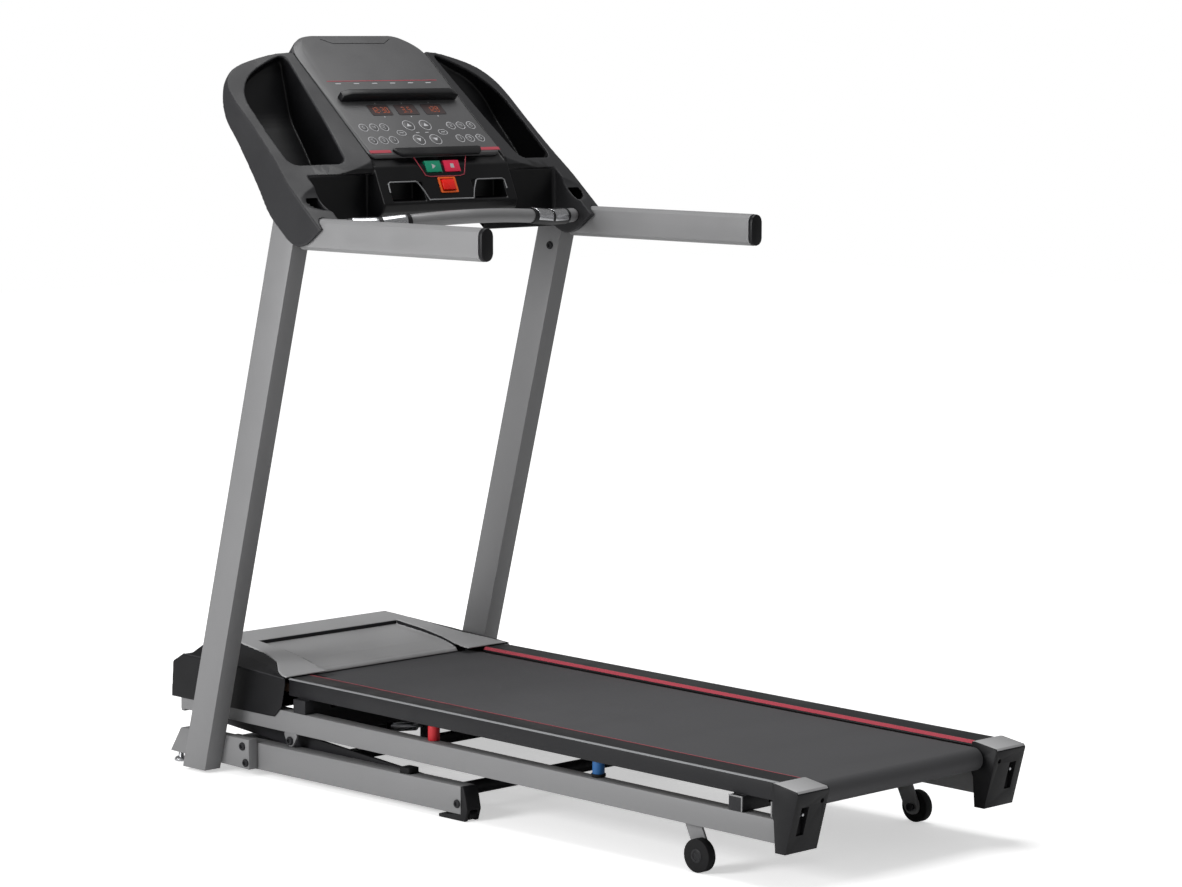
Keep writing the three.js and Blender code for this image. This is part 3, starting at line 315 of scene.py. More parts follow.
class Shape:
    """Gathers closed pieces of mesh, then makes one object of them."""

    def __init__(self):
        self.points = []
        self.faces = []

    def add(self, points, faces):
        start = len(self.points)
        self.points += [Vector(p) for p in points]
        self.faces += [tuple(start + i for i in face) for face in faces]

    def prism(self, outline, place, low, high):
        """An outline given as (a, b) pairs, from depth low to depth high."""
        count = len(outline)
        self.add(
            [place(a, b, low) for a, b in outline] + [place(a, b, high) for a, b in outline],
            [tuple(reversed(range(count))), tuple(range(count, 2 * count))]
            + [(i, (i + 1) % count, (i + 1) % count + count, i + count) for i in range(count)],
        )

    def band(self, outer, inner, place, low, high):
        """A closed band between two outlines with the same number of points."""
        count = len(outer)
        levels = [(outer, low), (outer, high), (inner, high), (inner, low)]
        points = [place(a, b, depth) for outline, depth in levels for a, b in outline]
        faces = []
        for level in range(4):
            here, there = level * count, ((level + 1) % 4) * count
            faces += ring_faces(here, there, count)
        self.add(points, faces)

    def tube(self, path, radius, sides=12, closed=False):
        """A round bar along a path of points; radius may be a number or one for each point."""
        radii = radius if isinstance(radius, (list, tuple)) else [radius] * len(path)
        rings, side = [], None
        for i, here in enumerate(path):
            ahead = path[(i + 1) % len(path)] if closed or i + 1 < len(path) else here
            behind = path[i - 1] if closed or i > 0 else here
            way = (ahead - behind).normalized()
            side = way.orthogonal() if side is None else side - way * side.dot(way)
            side.normalize()
            up = way.cross(side)
            rings.append([
                here + radii[i] * MM * (math.cos(a) * side + math.sin(a) * up)
                for a in (2 * math.pi * k / sides for k in range(sides))
            ])
        points = [p for ring in rings for p in ring]
        last = len(path) if closed else len(path) - 1
        faces = []
        for i in range(last):
            faces += ring_faces(i * sides, ((i + 1) % len(path)) * sides, sides)
        if not closed:
            faces += [tuple(reversed(range(sides))), tuple(range(len(points) - sides, len(points)))]
        self.add(points, faces)

    def lathe(self, profile, place, sides=32):
        """A (radius, depth) profile turned about the depth axis of a placing function."""
        points, faces = [], []
        for radius, depth in profile:
            for k in range(sides):
                angle = 2 * math.pi * k / sides
                points.append(place(radius * math.cos(angle), radius * math.sin(angle), depth))
        for i in range(len(profile) - 1):
            faces += ring_faces(i * sides, (i + 1) * sides, sides)
        faces += [tuple(reversed(range(sides))), tuple(range(len(points) - sides, len(points)))]
        self.add(points, faces)

    def make(self, name, material, body, slot, bevel=0.0, segments=2, angle=35.0):
        """One object of all the pieces; the slot argument is not used."""
        mesh = bpy.data.meshes.new(name)
        mesh.from_pydata([tuple(p) for p in self.points], [], self.faces)
        piece = settle(name, mesh, material, body, bevel, segments, angle)
        return piece


def settle(name, mesh, material, body, bevel=0.0, segments=2, angle=35.0):
    """Cleans a mesh, rounds its sharp edges, and hangs it on a CAD body."""
    work = bmesh.new()
    work.from_mesh(mesh)
    bmesh.ops.remove_doubles(work, verts=work.verts, dist=1e-6)
    bmesh.ops.recalc_face_normals(work, faces=work.faces)
    if bevel:
        limit = math.radians(angle)
        sharp = [e for e in work.edges if len(e.link_faces) == 2 and e.calc_face_angle() > limit]
        bmesh.ops.bevel(
            work, geom=sharp, offset=bevel * MM, segments=segments, profile=0.5,
            affect="EDGES", clamp_overlap=True, harden_normals=False,
        )
    for face in work.faces:
        face.smooth = True
    for edge in work.edges:
        edge.smooth = len(edge.link_faces) != 2 or edge.calc_face_angle(0.0) < math.radians(angle)
    work.to_mesh(mesh)
    work.free()
    piece = bpy.data.objects.new(name, mesh)
    bpy.context.scene.collection.objects.link(piece)
    piece.data.materials.clear()
    piece.data.materials.append(material)
    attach(piece, body)
    return piece


def body_of(node):
    return frame["nodes"][node]["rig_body"]


def rounded(node, material, bevel=1.2, segments=2, angle=28.0):
    """A CAD node's own shape with its edges rounded; it stands for the node."""
    mesh = frame["nodes"][node].data.copy()
    work = bmesh.new()
    work.from_mesh(mesh)
    bmesh.ops.remove_doubles(work, verts=work.verts, dist=1e-5)
    bmesh.ops.dissolve_limit(work, angle_limit=math.radians(0.6), verts=work.verts, edges=work.edges)
    work.to_mesh(mesh)
    work.free()
    piece = settle(f"{node}_finish", mesh, material, body_of(node), bevel, segments, angle)
    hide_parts(node)
    return piece


def moulded(node, material, voxel, passes, keep):
    """A CAD node's shape recast with soft edges, as a thick moulding has."""
    piece = rounded(node, material, 0.0)
    recast = piece.modifiers.new("recast", "REMESH")
    recast.mode = "VOXEL"
    recast.voxel_size = voxel * MM
    relax = piece.modifiers.new("relax", "SMOOTH")
    relax.factor = 0.5
    relax.iterations = passes
    thin = piece.modifiers.new("thin", "DECIMATE")
    thin.ratio = keep
    graph = bpy.context.evaluated_depsgraph_get()
    mesh = bpy.data.meshes.new_from_object(piece.evaluated_get(graph))
    piece.modifiers.clear()
    piece.data = mesh
    for face in mesh.polygons:
        face.use_smooth = True
    return piece


def circle(a, b, radius, sides=32):
    return [
        (a + radius * math.cos(2 * math.pi * k / sides), b + radius * math.sin(2 * math.pi * k / sides))
        for k in range(sides)
    ]


def rectangle(a0, a1, b0, b1):
    return [(a0, b0), (a1, b0), (a1, b1), (a0, b1)]


def soft_rectangle(a0, a1, b0, b1, radius, steps=5):
    """A rectangle with round corners."""
    corners = [(a1 - radius, b1 - radius, 0), (a0 + radius, b1 - radius, 90),
               (a0 + radius, b0 + radius, 180), (a1 - radius, b0 + radius, 270)]
    points = []
    for a, b, start in corners:
        for k in range(steps + 1):
            angle = math.radians(start + 90 * k / steps)
            points.append((a + radius * math.cos(angle), b + radius * math.sin(angle)))
    return points


# ---------------------------------------------------------------- the CAD nodes' finishes
def give_finishes():
    """Each CAD node gets its material, with its sharp edges rounded by the given bevel in millimetres."""
    plan = [
        (FRAME_GREY, 2.5, ["base_tube", "upright", "deck_tube"]),
        (FRAME_GREY, 2.0, ["foot_bracket"]),
        (ARM_GREY, 0.0, ["arm"]),
        (BLACK, 2.5, ["rear_cap"]),
        (BLACK, 1.0, ["base_end_foot"]),
        (BLACK, 3.5, ["arm_cap"]),
        (RAIL_BLACK, 1.5, ["side_rail"]),
        (RUBBER, 1.5, ["transport_wheel", "rear_wheel"]),
        (STEEL, 0.6, ["levelling_foot"]),
        (RED_RUBBER, 1.0, ["cushion_red"]),
        (BLUE_RUBBER, 1.0, ["cushion_blue"]),
        (BLACK, 0.8, ["grip_sleeve"]),
    ]
    for material, bevel, names in plan:
        for name in names:
            for side, _ in SIDES:
                rounded(f"{name}_{side}", material, bevel)
    single = [
        (FRAME_GREY, 2.0, ["base_cross_tube", "deck_front_frame"]),
        (BLACK_STEEL, 1.0, ["deck_cross_bar_front"]),
        (ARM_GREY, 0.0, ["grip_bar"]),
        (BLACK, 1.0, ["console_back_cover"]),
        (FASCIA_BLACK_AND_SHADE, 1.5, ["media_ledge"]),
        (PANEL, 1.0, ["console_panel"]),
        (CIRCUIT, 0.3, ["circuit_board"]),
        (GREEN_KEY, 1.2, ["start_button"]),
        (RED_KEY, 1.2, ["stop_button"]),
        (SAFETY_RED, 1.2, ["safety_key"]),
        (BLACK_STEEL, 1.0, ["deck_cross_bar_rear", "lift_frame", "hinge_shaft"]),
        (BLACK_STEEL, 1.0, ["lift_motor", "strut_barrel"]),
        (BLACK_STEEL, 3.0, ["drive_motor"]),
        (BOARD, 0.8, ["deck_board"]),
        (BELT, 0.0, ["running_belt"]),
        (RUBBER, 0.0, ["drive_belt"]),
        (STEEL, 0.8, ["rear_roller", "front_roller", "motor_pulley", "motor_tray"]),
        (STEEL, 0.8, ["lift_screw", "strut_rod"]),
        (STEEL, 1.5, ["motor_controller"]),
    ]
    for material, bevel, names in single:
        for name in names:
            rounded(name, material, bevel)
    add_housing()
    moulded("motor_cover_body", BLACK, voxel=2.2, passes=5, keep=0.2)
    add_hood()


# A wing pocket's outline on the console face, across and up, for the right side.
POCKET = [
    (218, 342), (280, 325), (336, 300), (371, 264), (389, 224),
    (394, 123), (394, 12), (260, -13), (239, 122), (229, 222),
]


# The wings fall away from the face beyond "start"; the pod is the block that carries the fascia.
WING = {"rim": -8, "fall": 0.206, "start": 200, "tail": 345, "bottom": 1358}
POD = {"half": 203, "back": 1150, "top": 1386}


def inside(outline, a, b):
    """Whether a point lies inside an outline of (a, b) pairs."""
    crossings = 0
    for (a0, b0), (a1, b1) in zip(outline, outline[1:] + outline[:1]):
        if (b0 > b) != (b1 > b) and a < a0 + (b - b0) * (a1 - a0) / (b1 - b0):
            crossings += 1
    return crossings % 2 == 1


# The wells the keys sit in: middle, half width and half height on the fascia, and the floor's depth. The
# floors lie below the keys' backs with room for the press.
KEY_LEVEL = (1317 - FASCIA["z"]) / math.cos(FASCIA["lean"])
KEY_WELLS = [(-28, 0, 23, 13.5, -12.2), (28, 0, 23, 13.5, -12.2), (0, KEY_LEVEL, 18, 12, -10.6)]


def near_a_well(point, reach=5):
    """Whether a point of the console lies in a key's well or within reach of it."""
    s, t, n = fascia_axes(point)
    return any(
        abs(s - middle) < half + reach and abs(t - level) < height + reach and floor - reach < n < reach
        for middle, level, half, height, floor in KEY_WELLS
    )


def open_wells(mesh, gap=0.9):
    """Moves the softened moulding back to the walls and floors of the keys' wells."""
    work = bmesh.new()
    work.from_mesh(mesh)
    for _ in range(2):
        close = {v for v in work.verts if near_a_well(v.co)}
        long = [e for e in work.edges if e.calc_length() > 1.2 * MM and (set(e.verts) & close)]
        bmesh.ops.subdivide_edges(work, edges=long, cuts=1)
        bmesh.ops.triangulate(work, faces=[f for f in work.faces if len(f.verts) > 3])
    work.to_mesh(mesh)
    work.free()
    for vertex in mesh.vertices:
        s, t, n = fascia_axes(vertex.co)
        for middle, level, half, height, floor in KEY_WELLS:
            across, up = s - middle, t - level
            room = (half + gap - abs(across), height + gap - abs(up), n - floor)
            if n > 7 or min(room) <= 0:
                continue
            if room[0] == min(room):
                s = middle + math.copysign(half + gap, across)
            elif room[1] == min(room):
                t = level + math.copysign(height + gap, up)
            else:
                n = floor
            vertex.co = on_fascia(s, t, n)


def add_housing():
    """The console's moulding: darker in its pockets and under them, which is painted shade, and near-black
    in the fascia under the panel, its own colour.
    """
    housing = moulded("console_housing", CHARCOAL, voxel=1.8, passes=10, keep=0.14)
    housing.data.materials.append(FASCIA_BLACK_AND_SHADE)
    open_wells(housing.data)
    c, k = math.cos(HEAD["tilt"]), math.sin(HEAD["tilt"])
    for face in housing.data.polygons:
        x, y, z = face.center / MM
        y -= AXLE.y / MM
        up, out = y - HEAD["y"], z - HEAD["z"]
        t, n = up * c + out * k, out * c - up * k
        faces_out = face.normal.z * c - face.normal.y * k
        limit = WING["rim"] - WING["fall"] * max(0.0, abs(x) - WING["start"])
        in_pocket = n < limit and faces_out > -0.6 and inside(POCKET, abs(x), t)
        in_fascia = abs(x) < POD["half"] and y < POD["back"] and z < POD["top"]
        under_wing = POD["half"] <= abs(x) < WING["tail"] and y < POD["back"] and z < WING["bottom"]
        # Pocket and under-wing faces take the near-black as painted shade; fascia faces take it as their
        # own colour.
        if in_pocket or in_fascia or under_wing:
            face.material_index = 1


# How far the hood's inset panel sinks at each distance from the rear axle.
INSET_SINK = [(1298, 0.0), (1306, 3.0), (1330, 4.5), (1360, 4.0), (1410, 2.8), (1500, 0.0)]


def between(table, at):
    """The value of a (position, value) table at a position, in straight lines; zero outside it."""
    for (start, low), (end, high) in zip(table, table[1:]):
        if start <= at < end:
            return low + (high - low) * (at - start) / (end - start)
    return 0.0


def add_hood():
    """The grey hood, with its inset panel sunk to an even depth along its sides."""
    hood = moulded("motor_hood", HOOD, voxel=1.9, passes=4, keep=0.22)
    for vertex in hood.data.vertices:
        if abs(vertex.co.x) < 211.6 * MM:
            vertex.co.z -= between(INSET_SINK, (vertex.co.y - AXLE.y) / MM) * MM


# ---------------------------------------------------------------- frame and deck details
def bolt(shape, place, a, b, radius, height):
    """A round bolt head with a socket, standing on the placing function's zero depth."""
    profile = [
        (radius, 0.0), (radius, height * 0.7), (radius * 0.86, height), (radius * 0.5, height),
        (radius * 0.46, height * 0.4), (radius * 0.05, height * 0.4),
    ]
    shape.lathe(profile, lambda p, q, c: place(a + p, b + q, c), 20)


def add_bolts():
    """Bolt heads of the arms, foot brackets, base ends and deck hinges."""
    fixed, moving = Shape(), Shape()
    for _, side in SIDES:
        bolt(fixed, facing_x(side * 380, -side), 1159, 1165, 9, 5)
        for y, z in ((1363, 67), (1352, 31)):
            bolt(fixed, facing_x(side * 379.7, side), y, z, 9, 4.5)
        bolt(fixed, facing_x(side * 353, side), 686, 36, 9, 4)
        bolt(moving, facing_x(side * 337, side), 1248, 90, 9.5, 6)
    fixed.make("frame_bolts", BLACK_STEEL, "base", "black_steel")
    moving.make("deck_bolts", BLACK_STEEL, "deck", "black_steel")


def add_bumpers():
    """Rubber stops on the base tubes, and the collars at the cushions' ends."""
    stops, collars = Shape(), Shape()
    for _, side in SIDES:
        x = sorted((side * 318, side * 348))
        outline = soft_rectangle(x[0], x[1], 843, 875, 4)
        stops.prism(outline, lambda a, b, c: plain(a, b, c), 74.2, 87.5)
        for y, low, high in ((804, 174, 181.4), (306, 142, 148)):
            middle = (side * 313, y)
            place = lambda a, b, c, at=middle: on_deck(at[0] + a, at[1] + b, c)
            collars.lathe([(15, low), (15.5, (low + high) / 2), (15, high)], place, 28)
    stops.make("base_stops", RUBBER, "base", "black_rubber", 1.5)
    collars.make("cushion_collars", RUBBER, "deck", "black_rubber")


def add_rail_stripes_and_highlights():
    """The red stripe on each rail's inner slope, and a painted highlight: a pale line on its outer edge
    where the chamfer catches the light.
    """
    red, pale = Shape(), Shape()
    slope = [(269, 213.9), (266.7, 213.9), (261.6, 208.0), (262.4, 207.5), (267.3, 213.0), (269, 213.0)]
    # The outer edge's strip is a painted highlight on the rail's chamfer.
    edge = [(331.3, 211.0), (331.2, 211.9), (328.3, 213.9), (327.4, 213.9), (327.4, 213.3), (330.7, 211.0)]
    for _, side in SIDES:
        along = lambda a, b, c, way=side: on_deck(way * a, c, b)
        red.prism(slope, along, -204.5, 1261.5)
        pale.prism(edge, along, -204.5, 1261.5)
    red.make("rail_red_stripes", RED_STRIPE, "deck", "red_rubber")
    pale.make("rail_painted_highlights", PALE_TRIM_AND_HIGHLIGHT, "deck", "aluminium_grey")


def add_deck_end():
    """Grey tops and adjusting bolts of the rear caps, the cross bar's bare ends, small brackets."""
    tops, bare, nuts = Shape(), Shape(), Shape()
    top_line = [(-206, 213.7), (-212, 214.6), (-267.5, 206.7), (-270.5, 202.5), (-270.0, 201.6),
                (-266.5, 205.4), (-212, 213.2), (-206, 212.6)]
    channel = [(-118.4, 141.5), (-118.4, 172.4), (-82, 172.4), (-82, 169.6),
               (-115.6, 169.6), (-115.6, 141.5)]
    for _, side in SIDES:
        sheet = lambda a, b, c, way=side: on_deck(way * c, a, b)
        tops.prism(top_line, sheet, 259.5, 347)
        bare.prism(channel, sheet, 338, 340.7)
        bare.prism(soft_rectangle(-196, -190, 143, 174, 1.5), sheet, 332, 336)
        rear = lambda a, b, c, way=side: on_deck(way * 318 + a, -244 - c, 156 + b)
        nuts.lathe([(7, 0), (7, 5), (5.5, 6), (3, 6), (3, 14), (2.4, 14.6)], rear, 18)
    tops.make("rear_cap_tops", HOOD, "deck", "hood_grey", 1.0)
    bare.make("deck_bare_edges", ARM_GREY, "deck", "arm_grey", 0.4)
    nuts.make("belt_adjusters", STEEL, "deck", "steel_bright")


def add_wheel_hubs():
    """Ribbed hubs on the rear wheels' outer faces and the axle bolts on their inner ends."""
    for name, side in SIDES:
        hub = Shape()
        outer = facing_x(side * 342.6, side)
        place = lambda a, b, c, at=outer: at(a, 34 + b, c)
        hub.lathe([(14, 0), (14, 1.2), (12.5, 2.0), (9, 2.0), (8, 1.0), (0.4, 1.0)], place, 28)
        for k in range(5):
            angle = 2 * math.pi * k / 5
            hub.prism(circle(11 * math.cos(angle), 34 + 11 * math.sin(angle), 1.8, 10), outer, 1.4, 2.6)
        bolt(hub, facing_x(side * 309.9, -side), 0, 34, 9, 5)
        hub.make(f"rear_wheel_hub_{name}", BLACK_STEEL, f"rear_wheel_{name}", "black_steel")


def add_hood_slot():
    """The step round the hood's inset panel: black walls that also paint the shade lying in the step."""
    slot = Shape()
    # The front plate and side walls are dark sheets that stand for the step's black and for its shade.
    slot.prism(rectangle(-211.6, 211.6, 258.4, 268.6), lambda a, b, c: plain(a, c, b), 1506.0, 1506.7)
    wall = [
        (1304, 236.0), (1322, 241.6), (1350, 248.2), (1410, 258.4), (1506.5, 268.8), (1506.5, 258.0),
        (1410, 249.0), (1360, 242.0), (1330, 235.5), (1309, 229.0),
    ]
    for _, side in SIDES:
        slot.prism(wall, facing_x(side * 211.7, -side), 0.0, 0.7)
    slot.make("hood_slot_black_and_painted_shade", BLACK, "deck", "black_plastic")


def add_cover_ledge_highlight():
    """A painted highlight: a lighter line along each side of the black cover, under its shoulder, where the
    ledge's edge catches the light.
    """
    ledge_highlight = Shape()
    run = ((1262, 228.4), (1350, 233.8), (1436, 239.2), (1616, 241.2))
    for _, side in SIDES:
        ledge_highlight.tube([plain(side * 343.2, y, z) for y, z in run], 1.3, 8)
    ledge_highlight.make("cover_ledge_painted_highlights", CHARCOAL, "deck", "charcoal_plastic")


def add_power_inlet():
    """The mains socket and its switch low on the motor cover's front."""
    front = lambda a, b, c: plain(-a, 1661.1 + c, b)
    frame_piece, pins, rocker = Shape(), Shape(), Shape()
    for left, right, rim in ((226, 262, 3), (270, 292, 2)):
        outer = soft_rectangle(left, right, 158, 184, 3)
        inner = soft_rectangle(left + rim, right - rim, 158 + rim, 184 - rim, 2)
        frame_piece.band(outer, inner, front, 0, 0.8)
    for a, b in ((237, 168), (251, 168), (244, 175)):
        pins.prism(rectangle(a - 1, a + 1, b - 2.5, b + 2.5), front, 0.1, 0.7)
    rocker.prism(soft_rectangle(273, 289, 161, 181, 1.5), front, 0.1, 0.9)
    frame_piece.make("inlet_frames", BLACK_STEEL, "deck", "black_steel")
    pins.make("inlet_pins", STEEL, "deck", "steel_bright")
    rocker.make("inlet_rocker", RED_RUBBER, "deck", "red_rubber", 0.3)


# ---------------------------------------------------------------- console details
SEGMENTS = {
    "0": "abcdef", "1": "bc", "2": "abged", "3": "abgcd", "4": "fgbc", "5": "afgcd",
    "6": "afgedc", "7": "abc", "8": "abcdefg", "9": "abcdfg",
}


def digit(shape, character, s, t, width, height, stroke, place, low, high):
    """One seven-bar digit with its lower left corner at (s, t)."""
    h = stroke / 2
    mid = height / 2
    bars = {
        "a": (0, height, 1), "g": (0, mid, 1), "d": (0, 0, 1),
        "f": (0, mid, 0), "b": (width, mid, 0), "e": (0, 0, 0), "c": (width, 0, 0),
    }
    for bar in SEGMENTS[character]:
        a, b, flat = bars[bar]
        if flat:
            outline = [(a + h, b - h), (a + width - h, b - h), (a + width, b),
                       (a + width - h, b + h), (a + h, b + h), (a, b)]
        else:
            outline = [(a + h, b + h), (a + h, b + mid - h), (a, b + mid),
                       (a - h, b + mid - h), (a - h, b + h), (a, b)]
        shape.prism([(s + p, t + q) for p, q in outline], place, low, high)


def number(shape, text, s, t, width, height, stroke, place, low, high):
    """A centred row of digits; a point or colon takes half a digit."""
    pitch = width * 1.55
    total = sum(pitch * (0.5 if c in ".:" else 1.0) for c in text)
    left = s - total / 2 + (pitch - width) / 2
    for c in text:
        if c == ".":
            shape.prism(circle(left, t, stroke * 0.7, 8), place, low, high)
            left += pitch * 0.5
        elif c == ":":
            for up in (0.3, 0.7):
                shape.prism(circle(left, t + height * up, stroke * 0.7, 8), place, low, high)
            left += pitch * 0.5
        else:
            digit(shape, c, left, t, width, height, stroke, place, low, high)
            left += pitch


def ring(shape, s, t, outer, inner, place, low, high, sides=36):
    shape.band(circle(s, t, outer, sides), circle(s, t, inner, sides), place, low, high)


PRINT_LOW, PRINT_HIGH = 0.02, 0.35


def add_windows():
    """Three smoked number windows with lit digits."""
    glass, frames, leds = Shape(), Shape(), Shape()
    for middle, text in ((-76, "12:30"), (3, "3.5"), (84, "128")):
        outline = soft_rectangle(middle - 31, middle + 31, 122, 156, 4)
        inner = soft_rectangle(middle - 29.6, middle + 29.6, 123.4, 154.6, 3)
        glass.prism(inner, on_head, 0.05, 0.5)
        frames.band(outline, inner, on_head, 0.02, 0.8)
        number(leds, text, middle, 131, 7.5, 16, 1.7, on_head, 0.45, 0.7)
    glass.make("window_panes", WINDOW, "base", "black_plastic")
    frames.make("window_frames", CHARCOAL, "base", "black_plastic", 0.2)
    leds.make("led_digits", LED, "base", "orange_red")


def add_pads():
    """The round number pads, the larger arrow pads and the two oval ones."""
    rings, marks, tops = Shape(), Shape(), Shape()
    for side in (-1, 1):
        for t, labels in ((84, "246"), (42, "135")):
            for s, label in zip((100, 130, 161), labels):
                ring(rings, side * s, t, 12, 10.6, on_head, PRINT_LOW, PRINT_HIGH)
                tops.prism(circle(side * s, t, 10.2), on_head, 0.02, 0.9)
                number(marks, label, side * s, t - 4.5, 4.6, 9, 1.1, on_head, 0.85, 1.05)
        for t, up in ((88, 1), (41, -1)):
            ring(rings, side * 25, t, 16, 14.4, on_head, PRINT_LOW, PRINT_HIGH)
            tops.prism(circle(side * 25, t, 14), on_head, 0.02, 1.0)
            arrow = [(-7, -4 * up), (7, -4 * up), (0, 6 * up)]
            marks.prism([(side * 25 + a, t + b) for a, b in arrow[::up]], on_head, 0.95, 1.15)
        oval = soft_rectangle(side * 62 - 13, side * 62 + 13, 56, 72, 7.9)
        hole = soft_rectangle(side * 62 - 11.8, side * 62 + 11.8, 57.2, 70.8, 6.7)
        rings.band(oval, hole, on_head, PRINT_LOW, PRINT_HIGH)
        marks.prism(soft_rectangle(side * 62 - 6, side * 62 + 6, 63, 65, 0.9), on_head, 0.3, 0.5)
    for s in (-14, 14):
        marks.prism(soft_rectangle(s - 5, s + 5, 63, 65, 0.9), on_head, PRINT_LOW, PRINT_HIGH)
    rings.make("pad_rings", PRINT, "base", "arm_grey")
    marks.make("pad_marks", PRINT, "base", "arm_grey")
    tops.make("pad_tops", PANEL, "base", "panel_grey", 0.5)


def add_panel_print():
    """The thin red rule, the row of small marks under it, and the seam near the top."""
    rule, marks, seam = Shape(), Shape(), Shape()
    rule.prism(rectangle(-168, 161, 235.2, 237.2), on_head, PRINT_LOW, PRINT_HIGH)
    for k in range(6):
        middle = -140 + 54 * k
        dash = soft_rectangle(middle - 8, middle + 8, 226.5, 229.0, 1.1)
        marks.prism(dash, on_head, PRINT_LOW, PRINT_HIGH)
    line = [on_head(s, t, 0.1) for s, t in ((-96, 377), (-68, 362), (86, 362), (112, 377))]
    seam.tube(line, 0.7, 8)
    for middle in (-76, 3, 84):
        marks.prism(circle(middle, 117, 1.6, 12), on_head, PRINT_LOW, PRINT_HIGH)
        marks.prism(circle(middle, 161, 1.3, 12), on_head, PRINT_LOW, PRINT_HIGH)
    rule.make("panel_red_rule", RED_STRIPE, "base", "red_key")
    marks.make("panel_marks", PRINT, "base", "arm_grey")
    seam.make("panel_seam", FASCIA_BLACK_AND_SHADE, "base", "black_plastic")


def add_ledges():
    """The lower black ledge and the red stripes that run on from its ends."""
    low, stripes = Shape(), Shape()
    profile = [(-128, 9), (-120, 11), (126, 11), (134, 9), (128, -6), (118, -13), (-112, -13), (-122, -6)]
    low.prism(profile, on_head, 0.1, 7.0)
    for side in (-1, 1):
        outline = [(side * 133, 1.5), (side * 133, 10.5), (side * 194, 10.5), (side * 194, 1.5)]
        stripes.prism(outline[::side], on_head, 0.05, 0.9)
    low.make("lower_ledge", FASCIA_BLACK_AND_SHADE, "base", "black_plastic", 2.0, 3)
    stripes.make("panel_red_stripes", RED_STRIPE, "base", "red_key")


def add_fascia():
    """The signs on the keys, the red bracket round them, the key's rim and the trays' pale edges."""
    bracket, start, stop, rim, trim = Shape(), Shape(), Shape(), Shape(), Shape()
    corners = ((-78, 23), (-58, -21), (-45, -24), (45, -24), (58, -21), (78, 23))
    bracket.tube([on_fascia(s, t, 0.5) for s, t in corners], 1.1, 8)
    start.prism([(-32, -6), (-21, 0), (-32, 6)], on_fascia, 1.21, 1.5)
    stop.prism(rectangle(23, 33, -5, 5), on_fascia, 1.21, 1.5)
    outer = soft_rectangle(-26, 26, KEY_LEVEL - 18.5, KEY_LEVEL + 18.5, 3)
    inner = soft_rectangle(-20.5, 20.5, KEY_LEVEL - 14.5, KEY_LEVEL + 14.5, 2)
    rim.band(outer, inner, on_fascia, -0.5, 1.6)
    half = [(66, -78), (75, -57), (88, -36), (94, -34), (168, -34), (174, -37), (175, -58)]
    line = [(-s, t) for s, t in reversed(half)] + half
    trim.tube([on_fascia(s, t, 0.2) for s, t in line], 1.5, 8)
    bracket.make("fascia_red_bracket", RED_STRIPE, "base", "red_key")
    start.make("start_sign", PRINT, "start_button", "arm_grey")
    stop.make("stop_sign", PRINT, "stop_button", "arm_grey")
    rim.make("safety_key_rim", ORANGE, "base", "orange_red", 0.4)
    trim.make("tray_trims", PALE_TRIM_AND_HIGHLIGHT, "base", "aluminium_grey")


GRIP = {"half": 366, "y": 1003, "bow": 70, "z": 1251, "drop": 13}


def grip_point(x):
    """The grip bar's middle line, in millimetres from the rear axle."""
    out = (x / GRIP["half"]) ** 2
    return (x, GRIP["y"] + GRIP["bow"] * out, GRIP["z"] - GRIP["drop"] * min(1, 2 * out))


def add_contact_plates():
    """Two plated hand-contact patches on each sleeve of the grip bar."""
    plates = Shape()
    steps, turns = 10, 16
    for start, end in ((194, 250), (260, 318)):
        for side in (-1, 1):
            points = []
            for radius in (19.2, 18.0):
                for i in range(steps + 1):
                    x, y, z = grip_point(side * (start + (end - start) * i / steps))
                    lean = math.atan(2 * GRIP["bow"] * x / GRIP["half"] ** 2)
                    for k in range(turns + 1):
                        angle = math.radians(-25 + 150 * k / turns)
                        out, up = radius * math.cos(angle), radius * math.sin(angle)
                        points.append(plain(x + out * math.sin(lean), y - out * math.cos(lean), z + up))
            plates.add(points, slab_faces(steps + 1, turns + 1))
    plates.make("contact_plates", CHROME, "base", "steel_bright", 0.3)


def slab_faces(rows, columns):
    """Faces of a thin sheet given as an upper grid of points followed by a lower one."""
    under = rows * columns
    faces = []
    for i in range(rows - 1):
        for k in range(columns - 1):
            a = i * columns + k
            quad = (a, a + 1, a + columns + 1, a + columns)
            faces.append(quad)
            faces.append(tuple(under + v for v in reversed(quad)))
    edge = [k for k in range(columns)]
    edge += [i * columns + columns - 1 for i in range(1, rows)]
    edge += [(rows - 1) * columns + k for k in range(columns - 2, -1, -1)]
    edge += [i * columns for i in range(rows - 2, 0, -1)]
    for here, there in zip(edge, edge[1:] + edge[:1]):
        faces.append((there, here, under + here, under + there))
    return faces


def on_back(s, t, n):
    """Across the console's back cover, up it, and out of it."""
    return plain(s, 1295 + 0.4568 * t + 0.8895 * n, 1260.8 + 0.8895 * t - 0.4568 * n)


def add_back_details():
    """Screws and vent slots on the console's back cover."""
    screws, vents = Shape(), Shape()
    for s in (-150, 150):
        for t in (70, 300):
            bolt(screws, on_back, s, t, 4.5, 1.6)
    for k in range(7):
        vents.prism(soft_rectangle(-62, 62, 130 + 14 * k, 134 + 14 * k, 1.9), on_back, 0.05, 0.5)
    screws.make("back_screws", STEEL, "base", "steel_bright")
    vents.make("back_vents", FASCIA_BLACK_AND_SHADE, "base", "black_plastic")


# ---------------------------------------------------------------- camera, light and floor
CAMERA = {"x": -5.5164, "y": -4.9070, "z": 1.6644, "azimuth": -44.83, "elevation": 6.473, "roll": 0.08,
          "lens": 111.74}
# The floor's half width in millimetres, its own strength near the treadmill and far off, and the distances
# in metres between which that strength rises.
FLOOR_NEAR = 0.52
FLOOR_FAR = 0.88
FLOOR_HALF = 14000
SHADOW_REACH = 1.2
FLOOR_FADE = 4.5
AMBIENT = 0.24


